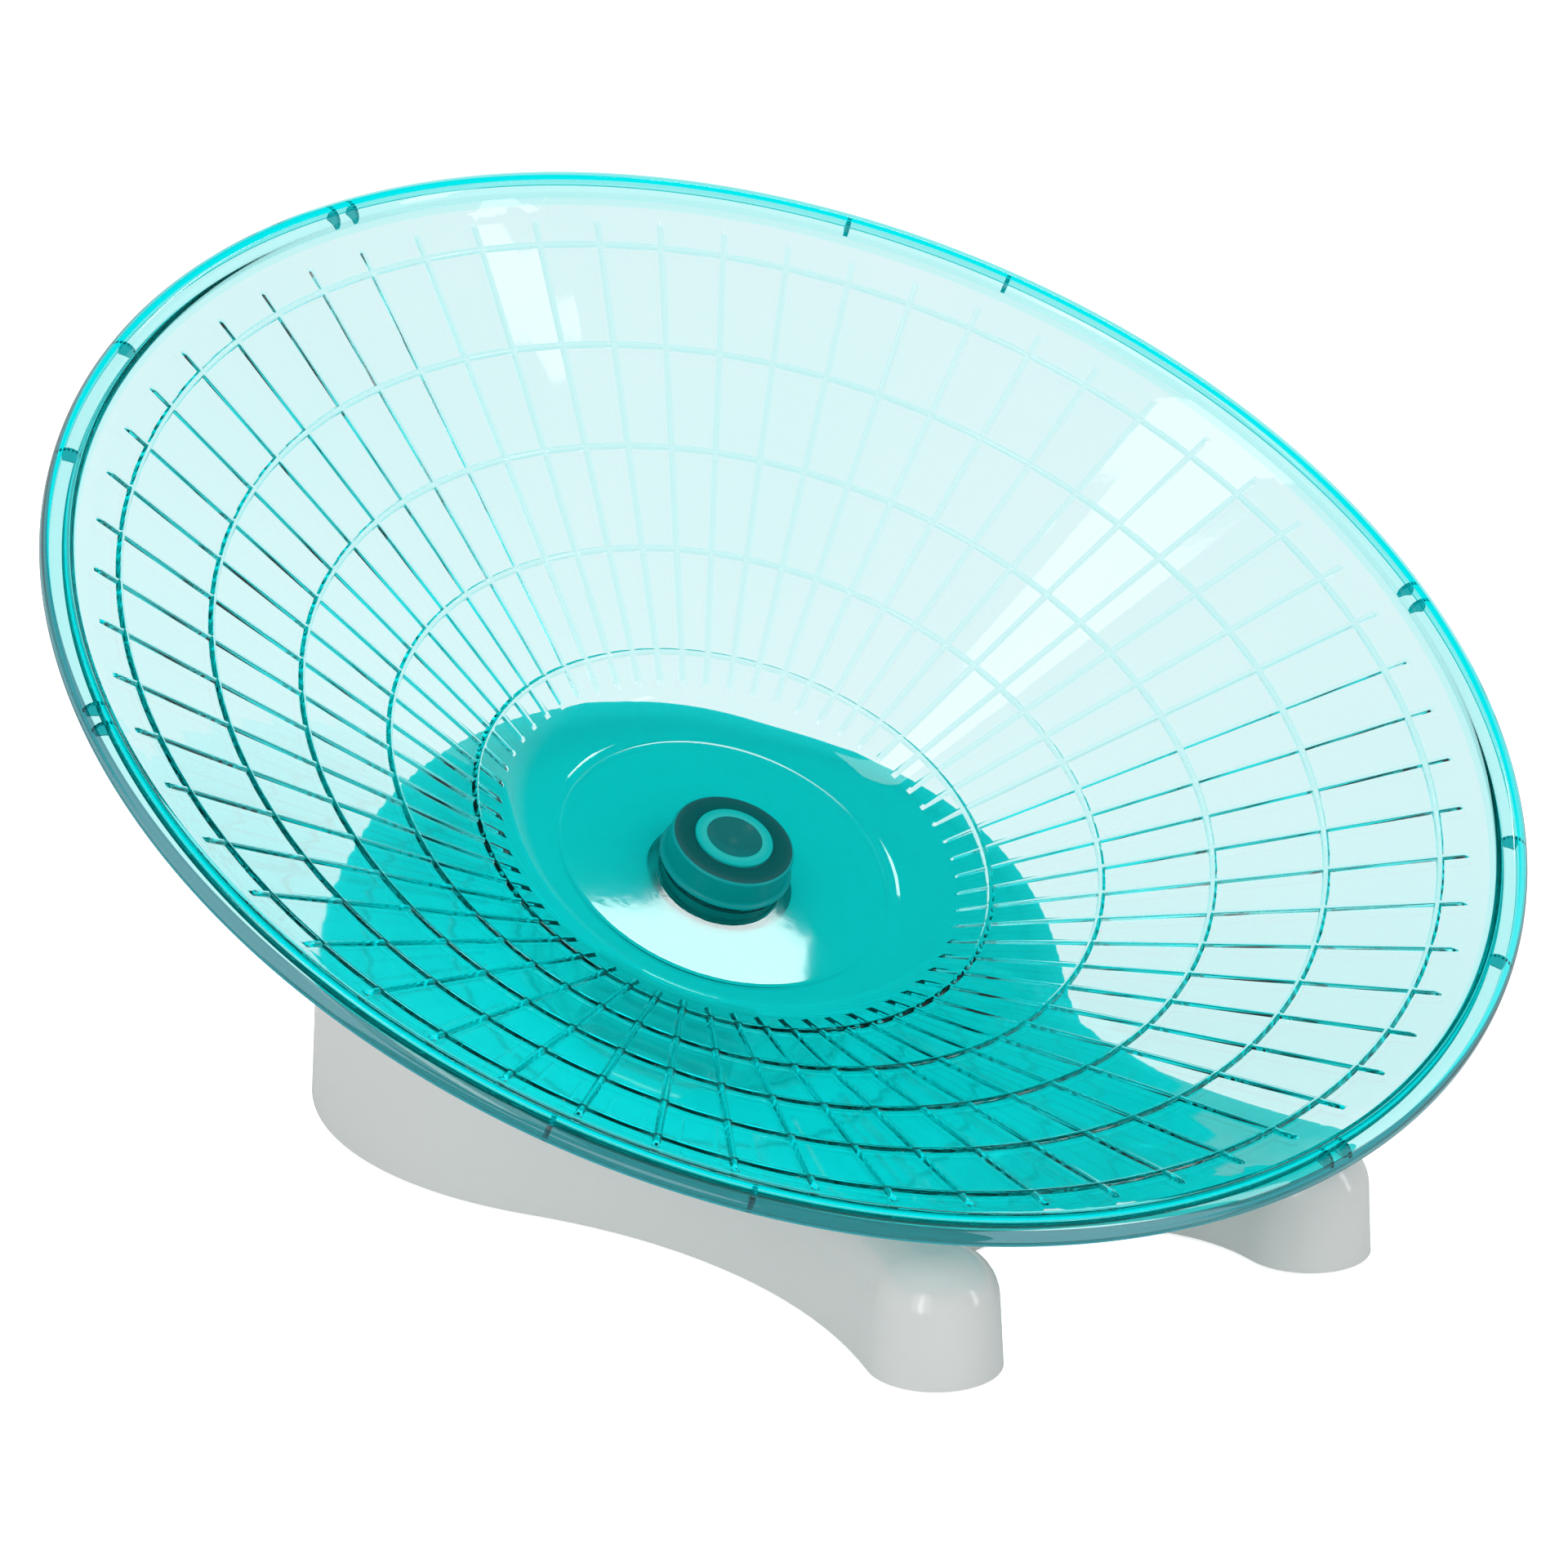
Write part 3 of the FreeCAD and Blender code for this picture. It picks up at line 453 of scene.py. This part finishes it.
bmesh.ops.transform(dish_mesh, matrix=ON_AXIS, verts=dish_mesh.verts)
dish_data = bpy.data.meshes.new("dish")
dish_mesh.to_mesh(dish_data)
open_edges = [edge for edge in dish_mesh.edges if not edge.is_manifold]
print("dish of", len(dish_mesh.faces), "faces,", len(open_edges), "open edges")
dish_mesh.free()
dish = add_piece("dish", dish_data, "disc", slots["running_disc"], "running_disc")
settle_normals(dish)

# %% [markdown]
# ## The other mouldings and the hardware
# Their CAD shapes are right, but a CAD mesh is loose triangles with flat shading, and that shows on gloss.
# A copy of each is merged, the triangles of each flat face are joined into one, so that the flat outweighs
# the roundings at its edge, the real edges are marked as sharp by their angle, and the rest is shaded smooth.

# %% Smooth copies of the CAD pieces
SHARP_ANGLE = math.radians(32)
FLAT_ANGLE = math.radians(0.2)
CORNER_GAP = 0.002 * MM
SLIVER = 0.001 * MM


def body_holding(node):
    """The name of the body that carries a CAD node."""
    groups = frame["record"]["behaviour"]["bodies"]
    return next(body for body, members in groups.items() if node in members)


def smooth_copy(node, name):
    """A merged, smoothly shaded copy of a CAD node that stands for it."""
    mesh = bmesh.new()
    mesh.from_mesh(nodes[node].data)
    bmesh.ops.remove_doubles(mesh, verts=mesh.verts, dist=CORNER_GAP)
    bmesh.ops.dissolve_degenerate(mesh, edges=mesh.edges, dist=SLIVER)
    bmesh.ops.dissolve_limit(mesh, angle_limit=FLAT_ANGLE, verts=[], edges=mesh.edges)
    data = bpy.data.meshes.new(name)
    mesh.to_mesh(data)
    mesh.free()
    data.materials.clear()
    piece = add_piece(name, data, body_holding(node), slots[node], node)
    settle_normals(piece)
    piece.data.set_sharp_from_angle(angle=SHARP_ANGLE)
    return piece


copies = {node: smooth_copy(node, f"{node}_smooth") for node in nodes if node != "running_disc"}
print(len(copies), "smooth copies")

# %% [markdown]
# ## Finishes
# Every finish is built from nodes on Object coordinates. A few helpers add a node and link it, so that the
# cells after them read as a list of what goes into a finish.

# %% Helpers for nodes


def set_sockets(made, **inputs):
    """Sets sockets of a node by name, with _ for each space."""
    for socket, value in inputs.items():
        made.inputs[socket.replace("_", " ")].default_value = value


def add_node(tree, kind, **inputs):
    """A node with some of its sockets set by name."""
    made = tree.nodes.new(kind)
    set_sockets(made, **inputs)
    return made


def feed(tree, socket, value):
    """Sets a socket to a value, or links it to the output of another node."""
    if isinstance(value, bpy.types.NodeSocket):
        tree.links.new(value, socket)
    else:
        socket.default_value = value


def operate(tree, kind, operation, values):
    """The outputs of a Math or Vector Math node whose inputs are values or outputs of other nodes."""
    made = tree.nodes.new(kind)
    made.operation = operation
    for socket, value in zip(made.inputs, values):
        feed(tree, socket, value)
    return made.outputs


def calculate(tree, operation, *values):
    """The result of a Math node."""
    return operate(tree, "ShaderNodeMath", operation, values)["Value"]


def mixed(tree, factor, first, second):
    """A blend of two colours, each a value or the output of another node."""
    blend = tree.nodes.new("ShaderNodeMix")
    blend.data_type = "RGBA"
    for socket, value in (("Factor", factor), ("A", first), ("B", second)):
        feed(tree, blend.inputs[socket], value)
    return blend.outputs["Result"]


print("helpers for nodes are ready")

# %% [markdown]
# One group gives the slow change of tone and gloss that moulded or turned pieces have. It puts out a colour,
# a roughness and a height, and each material feeds these to its own shader.

# %% A group for slow changes over a surface
CLOUD_DETAIL = 3.0
GRAIN_DETAIL = 6.0
GROUP_INPUTS = {"Tone A": "Color", "Tone B": "Color", "Gloss A": "Float", "Gloss B": "Float",
                "Cloud Scale": "Float", "Grain Scale": "Float"}
GROUP_OUTPUTS = {"Tone": "Color", "Roughness": "Float", "Height": "Float"}


def surface_change_group():
    """Group: two tones, two levels of gloss and a fine height from layered noise."""
    group = bpy.data.node_groups.new("surface_change", "ShaderNodeTree")
    for way, sockets in (("INPUT", GROUP_INPUTS), ("OUTPUT", GROUP_OUTPUTS)):
        for name, kind in sockets.items():
            group.interface.new_socket(name, in_out=way, socket_type=f"NodeSocket{kind}")
    entry = group.nodes.new("NodeGroupInput").outputs
    result = group.nodes.new("NodeGroupOutput").inputs
    place = group.nodes.new("ShaderNodeTexCoord").outputs["Object"]
    clouds = add_node(group, "ShaderNodeTexNoise", Detail=CLOUD_DETAIL)
    grain = add_node(group, "ShaderNodeTexNoise", Detail=GRAIN_DETAIL)
    gloss = group.nodes.new("ShaderNodeMix")
    tone = mixed(group, clouds.outputs["Fac"], entry["Tone A"], entry["Tone B"])
    link = group.links.new
    link(place, clouds.inputs["Vector"])
    link(place, grain.inputs["Vector"])
    link(entry["Cloud Scale"], clouds.inputs["Scale"])
    link(entry["Grain Scale"], grain.inputs["Scale"])
    link(grain.outputs["Fac"], gloss.inputs["Factor"])
    link(entry["Gloss A"], gloss.inputs["A"])
    link(entry["Gloss B"], gloss.inputs["B"])
    link(tone, result["Tone"])
    link(gloss.outputs["Result"], result["Roughness"])
    link(grain.outputs["Fac"], result["Height"])
    return group


SURFACE_CHANGE = surface_change_group()
print("group with outputs", list(GROUP_OUTPUTS))

# %% [markdown]
# A finish is a Principled shader fed by that group. Numbers that are the same all over the piece, such as the
# index of refraction, are set on the shader's own sockets. Another tone can be laid over a part of a finish:
# a mask says where, and on the dish the masks are made from the distance to the spin axis.

# %% How a finish is made
RELIEF_DEPTH = 0.1 * MM


def finish(name, tones, gloss, scales, relief, **shader_values):
    """A material whose tone, roughness and fine relief come from the group."""
    material = bpy.data.materials.new(name)
    material.use_nodes = True
    tree = material.node_tree
    shader = tree.nodes["Principled BSDF"]
    set_sockets(shader, **shader_values)
    change = tree.nodes.new("ShaderNodeGroup")
    change.node_tree = SURFACE_CHANGE
    set_sockets(change, Tone_A=(*tones[0], 1.0), Tone_B=(*tones[1], 1.0), Gloss_A=gloss[0],
                Gloss_B=gloss[1], Cloud_Scale=scales[0], Grain_Scale=scales[1])
    bump = add_node(tree, "ShaderNodeBump", Strength=relief, Distance=RELIEF_DEPTH)
    tree.links.new(change.outputs["Tone"], shader.inputs["Base Color"])
    tree.links.new(change.outputs["Roughness"], shader.inputs["Roughness"])
    tree.links.new(change.outputs["Height"], bump.inputs["Height"])
    tree.links.new(bump.outputs["Normal"], shader.inputs["Normal"])
    return material


def retone(tree, mask, tone):
    """Lays another tone over the colour of a finish where the mask is one."""
    colour = tree.nodes["Principled BSDF"].inputs["Base Color"]
    tree.links.new(mixed(tree, mask, colour.links[0].from_socket, tone), colour)


def off_axis(tree):
    """How far a point of a piece lies from the spin axis."""
    kind = "ShaderNodeVectorMath"
    place = tree.nodes.new("ShaderNodeTexCoord").outputs["Object"]
    from_pivot = operate(tree, kind, "SUBTRACT", (place, spin["pos_m"]))["Vector"]
    square = operate(tree, kind, "CROSS_PRODUCT", (from_pivot, axis))["Vector"]
    return operate(tree, kind, "LENGTH", (square,))["Value"]


print("fine relief of", round(RELIEF_DEPTH / MM, 2), "mm at full strength")

# %% [markdown]
# The clear plastic is tinted twice: at its skin, and by the way that light travels inside, so that edges and
# thick places are darker. On the lip the tone is a little deeper, and the outside of its skirt carries a
# painted shade, deeper still, for the dark band that the lip shows where it lies in shade. The webs are seen
# edge on, so they are deep too. The bearing fills the hub and stops the view, so the hub has a closed, opaque
# skin: painted shade in the ring over the bearing, which little light reaches, a painted lighter crown and a
# painted deeper core.

# %% Finishes of the dish
PLASTIC_IOR = 1.5
DISH_SCALES = (14.0, 500.0)
DISH_RELIEF = 0.02
ABSORPTION_COLOUR = (0.0, 0.936, 0.93, 1.0)
ABSORPTION_DENSITY = 220.0
LIP_TONE = (0.021, 0.978, 0.975, 1.0)
LIP_EDGE = 0.2 * MM
# Painted shade on the outside of the lip's skirt: the dark band that the lip shows where it lies in shade.
SKIRT_PAINTED_SHADE = (0.001, 0.12, 0.15, 1.0)
SKIRT_DEPTH = 1.0 * MM
# Tones of the hub's opaque skin: painted shade over the bearing, a painted lighter crown and a painted deeper
# core.
HUB_PAINTED_SHADE = (0.0004, 0.1, 0.103, 1.0)
HUB_CROWN_PAINTED_LIGHT = (0.0006, 0.5, 0.485, 1.0)
HUB_CORE_PAINTED_SHADE = (0.006, 0.16, 0.162, 1.0)
HUB_EDGE = 0.5 * MM


def dish_finish(name, tones, gloss, **shader_values):
    """A finish with the clouds, the grain and the relief of the dish."""
    return finish(name, tones, gloss, DISH_SCALES, DISH_RELIEF, IOR=PLASTIC_IOR, **shader_values)


def clear_teal():
    """The clear plastic of the floor, wall and lip."""
    tones = [(0.034, 0.985, 0.985), (0.03, 0.98, 0.98)]
    material = dish_finish("clear_teal", tones, gloss=(0.015, 0.035), Transmission_Weight=1.0)
    tree = material.node_tree
    depth = add_node(tree, "ShaderNodeVolumeAbsorption", Color=ABSORPTION_COLOUR, Density=ABSORPTION_DENSITY)
    tree.links.new(depth.outputs["Volume"], tree.nodes["Material Output"].inputs["Volume"])
    radius = off_axis(tree)
    retone(tree, calculate(tree, "GREATER_THAN", radius, LIP_INNER - LIP_EDGE), LIP_TONE)
    # Painted shade on the outside of the skirt, laid only on rays that come in from outside.
    inside = tree.nodes.new("ShaderNodeNewGeometry").outputs["Backfacing"]
    on_skirt = calculate(tree, "GREATER_THAN", radius, RIM - SKIRT_DEPTH)
    retone(tree, calculate(tree, "GREATER_THAN", on_skirt, inside), SKIRT_PAINTED_SHADE)
    return material


def web_teal():
    """The webs are looked at along their length, through far more plastic than a wall is."""
    tones = [(0.001, 0.4, 0.42), (0.001, 0.36, 0.38)]
    return dish_finish("web_teal", tones, gloss=(0.03, 0.06), Transmission_Weight=1.0)


def hub_painted_skin():
    """The closed, opaque skin of the hub: teal sides, painted shade in the ring over the bearing, a painted
    lighter crown and a painted deeper core.
    """
    tones = [(0.0006, 0.38, 0.385), (0.0006, 0.35, 0.355)]
    material = dish_finish("hub_painted_skin", tones, gloss=(0.2, 0.28), Specular_IOR_Level=0.2)
    tree = material.node_tree
    radius = off_axis(tree)
    # Painted shade over the bearing, painted light on the crown, painted shade in the core.
    rings = [(HUB_RADIUS - HUB_EDGE, HUB_PAINTED_SHADE), (CROWN_OUTER, HUB_CROWN_PAINTED_LIGHT), (CROWN_INNER, HUB_CORE_PAINTED_SHADE)]
    for reach, tone in rings:
        retone(tree, calculate(tree, "LESS_THAN", radius, reach), tone)
    return material


dish_finishes = [clear_teal(), web_teal(), hub_painted_skin()]
for material in dish_finishes:
    dish.data.materials.append(material)
print(len(dish_finishes), "finishes on the dish")

# %% [markdown]
# The base is glossy off-white plastic. The steel of the rings, shields and axle in the hub has dark tones,
# painted shade, because little light reaches it, and each kind differs in gloss: ground rings, polished
# balls, pressed shields and a turned axle. The outer ring of the bearing gets a darker steel of its own in
# place of the one of its slot, more painted shade.

# %% Finishes of the base and the hardware
STEEL_SHADE = 0.85


def steel(name, tone, gloss):
    """Bare steel with a fine grain."""
    darker = tuple(STEEL_SHADE * c for c in tone)
    return finish(name, [tone, darker], gloss, scales=(120.0, 2500.0), relief=0.1, Metallic=1.0)


FINISHES = {
    "base_plastic": finish(
        "base_white", tones=[(0.67, 0.68, 0.67), (0.635, 0.65, 0.64)], gloss=(0.1, 0.16),
        scales=(9.0, 420.0), relief=0.04, IOR=PLASTIC_IOR),
    # Dark tones of the rings, shields and axle are painted shade for steel that little light reaches in the hub.
    "bearing_steel": steel("ground_steel", (0.16, 0.163, 0.17), gloss=(0.2, 0.32)),
    "ball_steel": steel("polished_steel", (0.7, 0.7, 0.72), gloss=(0.04, 0.08)),
    "shield_steel": steel("shield_painted_shade", (0.03, 0.031, 0.033), gloss=(0.35, 0.5)),
    "axle_steel": steel("turned_steel", (0.24, 0.24, 0.245), gloss=(0.22, 0.36)),
    "cage_plastic": finish(
        "cage_plastic", tones=[(0.72, 0.66, 0.5), (0.68, 0.61, 0.45)], gloss=(0.4, 0.55),
        scales=(90.0, 900.0), relief=0.1),
    "spacer_plastic": finish(
        "spacer_plastic", tones=[(0.76, 0.76, 0.74), (0.7, 0.7, 0.69)], gloss=(0.35, 0.5),
        scales=(60.0, 900.0), relief=0.1),
    "foot_rubber": finish(
        "foot_rubber", tones=[(0.12, 0.12, 0.12), (0.08, 0.08, 0.08)], gloss=(0.65, 0.85),
        scales=(80.0, 1800.0), relief=0.4),
}
for node, piece in copies.items():
    piece.data.materials.append(FINISHES[slots[node]])
# A darker steel for the outer ring, more painted shade.
outer_ring_painted_shade = steel("outer_ring_painted_shade", (0.09, 0.092, 0.1), gloss=(0.3, 0.42))
copies["bearing_outer_ring"].data.materials[0] = outer_ring_painted_shade
print(len(FINISHES), "finishes on the other pieces")

# %% [markdown]
# ## Floor and light
# The object stands on a white sweep. Clear plastic in front of it looks pale, and the same plastic in front
# of the base looks deep teal. The Light Path node tells the kinds of ray apart, so the sweep can have a
# colour for each. Light that comes straight through the plastic gets more red, which every skin on the way
# swallows, and so does the light that falls through the dish on the deck of the base. Light that was caught
# inside the wall has no red, because it draws the ribs and the lip as deep teal lines. In mirror images the
# sweep is dark above the horizon, as a studio is. A depth counts whole steps, so the limits below lie
# between two counts.

# %% Kinds of ray
RED_LIFT = 6.2
AT_LEAST_ONE = 0.5
AT_LEAST_THREE = 2.5


def ray_kinds(tree):
    """Masks for the kinds of ray; a later one is a part of an earlier one and goes over it."""
    path = tree.nodes.new("ShaderNodeLightPath").outputs
    through = path["Is Transmission Ray"]
    turned = calculate(tree, "GREATER_THAN", path["Glossy Depth"], AT_LEAST_ONE)
    scattered = calculate(tree, "GREATER_THAN", path["Diffuse Depth"], AT_LEAST_ONE)
    many_skins = calculate(tree, "GREATER_THAN", path["Transmission Depth"], AT_LEAST_THREE)
    below = calculate(tree, "MULTIPLY", through, scattered)
    return {
        "seen": path["Is Camera Ray"],
        "mirrored": path["Is Glossy Ray"],
        "through": through,
        "caught": calculate(tree, "MULTIPLY", through, turned),
        "below": below,
        "deep": calculate(tree, "MULTIPLY", below, many_skins),
    }


def red_lifted(tree, colour):
    """A colour whose red grows with every skin of plastic that the ray has crossed."""
    path = tree.nodes.new("ShaderNodeLightPath").outputs
    growth = calculate(tree, "POWER", RED_LIFT, path["Transmission Depth"])
    made = add_node(tree, "ShaderNodeCombineColor", Green=colour[1], Blue=colour[2])
    tree.links.new(calculate(tree, "MULTIPLY", growth, colour[0]), made.inputs["Red"])
    return made.outputs["Color"]


def colour_by_ray(tree, plain, **colours):
    """One colour for plain light and others for the kinds of ray that are named."""
    result = plain
    for kind, mask in ray_kinds(tree).items():
        if kind in colours:
            result = mixed(tree, mask, result, colours[kind])
    return result


def grey(level):
    """A colour without a tint."""
    return (level, level, level, 1.0)


print("red grows", RED_LIFT, "times at a skin")

# %% White sweep and world
SKY_LIGHT = grey(0.74)
SKY_SEEN = grey(1.0)
HORIZON = grey(0.8)
HORIZON_LOW = 0.42
HORIZON_HIGH = 0.6
STUDIO_DARK = (0.01, 0.2, 0.21, 1.0)
SWEEP_THROUGH = (1.0, 0.98, 0.99)
SWEEP_CAUGHT = (0.0, 0.95, 1.0, 1.0)
SWEEP_BELOW = (45.0, 0.85, 0.85, 1.0)
SWEEP_DEEP = (14.0, 1.57, 1.55, 1.0)
ALL_BOUNCES = 24
MIRROR_BOUNCES = 16


def mirrored_sweep(tree):
    """What gloss mirrors: the pale sweep near the horizon and the dark studio above it."""
    place = tree.nodes.new("ShaderNodeTexCoord")
    way = tree.nodes.new("ShaderNodeSeparateXYZ")
    fade = add_node(tree, "ShaderNodeMapRange", From_Min=HORIZON_LOW, From_Max=HORIZON_HIGH)
    tree.links.new(place.outputs["Generated"], way.inputs["Vector"])
    tree.links.new(way.outputs["Z"], fade.inputs["Value"])
    return mixed(tree, fade.outputs["Result"], HORIZON, STUDIO_DARK)


world = bpy.data.worlds.new("white_sweep")
world.use_nodes = True
sky = world.node_tree
sky_colour = colour_by_ray(
    sky,
    SKY_LIGHT,
    seen=SKY_SEEN,
    mirrored=mirrored_sweep(sky),
    through=red_lifted(sky, SWEEP_THROUGH),
    caught=SWEEP_CAUGHT,
    below=SWEEP_BELOW,
    deep=SWEEP_DEEP,
)
sky.links.new(sky_colour, sky.nodes["Background"].inputs["Color"])
bpy.context.scene.world = world
bpy.context.scene.view_settings.view_transform = "Standard"
bpy.context.scene.cycles.max_bounces = ALL_BOUNCES
bpy.context.scene.cycles.glossy_bounces = MIRROR_BOUNCES
print("sweep with", len(sky.nodes), "nodes")

# %% [markdown]
# The floor is one large square. It is matte, so that the object's soft shadow lies on it, and it glows for
# the camera and for rays through the plastic, so that it meets the white of the sweep without a line.

# %% Floor
FLOOR_HALF = 6.0
MATTE_WHITE = grey(0.9)
MATTE_THROUGH = (0.0, 0.3, 0.3, 1.0)
MATTE_CAUGHT = grey(0.12)
NO_GLOW = grey(0.0)
GLOW_SEEN = grey(0.75)
GLOW_THROUGH = (1.0, 0.76, 0.77)
GLOW_CAUGHT = (0.0, 0.85, 0.9, 1.0)


def white_floor():
    """Matte white, with a glow that only the camera and the clear plastic see."""
    material = bpy.data.materials.new("white_floor")
    material.use_nodes = True
    tree = material.node_tree
    tree.nodes.remove(tree.nodes["Principled BSDF"])
    matte = tree.nodes.new("ShaderNodeBsdfDiffuse")
    glow = tree.nodes.new("ShaderNodeEmission")
    both = tree.nodes.new("ShaderNodeAddShader")
    matte_colour = colour_by_ray(
        tree, MATTE_WHITE, through=MATTE_THROUGH, caught=MATTE_CAUGHT, below=MATTE_WHITE)
    glow_colour = colour_by_ray(
        tree, NO_GLOW, seen=GLOW_SEEN, through=red_lifted(tree, GLOW_THROUGH), caught=GLOW_CAUGHT,
        below=NO_GLOW)
    link = tree.links.new
    link(matte_colour, matte.inputs["Color"])
    link(glow_colour, glow.inputs["Color"])
    link(matte.outputs["BSDF"], both.inputs[0])
    link(glow.outputs["Emission"], both.inputs[1])
    link(both.outputs["Shader"], tree.nodes["Material Output"].inputs["Surface"])
    return material


floor_mesh = bmesh.new()
bmesh.ops.create_grid(floor_mesh, x_segments=1, y_segments=1, size=FLOOR_HALF)
floor_data = bpy.data.meshes.new("floor")
floor_mesh.to_mesh(floor_data)
floor_mesh.free()
floor = bpy.data.objects.new("floor", floor_data)
floor.data.materials.append(white_floor())
bpy.context.scene.collection.objects.link(floor)
print("floor", 2 * FLOOR_HALF, "m wide")

# %% [markdown]
# Six soft lights draw the gloss. Most of them were placed by mirroring a view ray in the surface that should
# show them: a small one lies as a white patch on the flat floor of the dish, one above makes the pale band
# on the right of the running wall, a narrow one the streak on its rear, and two upright strips brighten the
# toes. A large dim one fills the shade on the flank of the base.
# They are set by brightness, so that a larger light is not a brighter one. Rays that have crossed the plastic
# don't see them, so that the deck of the base under the dish stays evenly lit.

# %% Soft lights
SOFT_LIGHTS = [
    # name, place, aim, width, height, brightness, roll in degrees
    ("floor_patch", (0.826, 0.213, 1.381), (-0.015, 0.013, 0.044), 0.13, 0.05, 11.5, 48.4),
    ("wall_band", (-0.125, -0.155, 1.2), (0.09, 0.035, 0.09), 0.35, 0.16, 3.0, 36.0),
    ("wall_streak", (0.647, -0.696, 1.1), (0.01, 0.112, 0.148), 0.13, 0.06, 3.0, 0.0),
    ("side_fill", (-1.3, -0.75, 0.55), (0.0, 0.0, 0.03), 0.9, 0.9, 1.6, 0.0),
    ("left_strip", (-1.198, -0.724, 0.41), (0.0, 0.0, 0.06), 0.18, 0.9, 4.2, 0.0),
    ("right_strip", (0.865, -1.102, 0.41), (0.0, 0.0, 0.06), 0.18, 0.9, 4.2, 0.0),
]


def soft_light(name, place, aim, width, height, brightness, roll):
    """A rectangular light turned towards a point and rolled about its own direction."""
    data = bpy.data.lights.new(name, "AREA")
    data.shape = "RECTANGLE"
    data.size = width
    data.size_y = height
    data.energy = brightness * math.pi * width * height
    light = bpy.data.objects.new(name, data)
    light.location = place
    facing = (Vector(place) - Vector(aim)).to_track_quat("Z", "Y")
    light.rotation_euler = (facing @ Quaternion((0.0, 0.0, 1.0), math.radians(roll))).to_euler()
    light.visible_transmission = False
    bpy.context.scene.collection.objects.link(light)


for row in SOFT_LIGHTS:
    soft_light(*row)
print(len(bpy.data.lights), "lights")
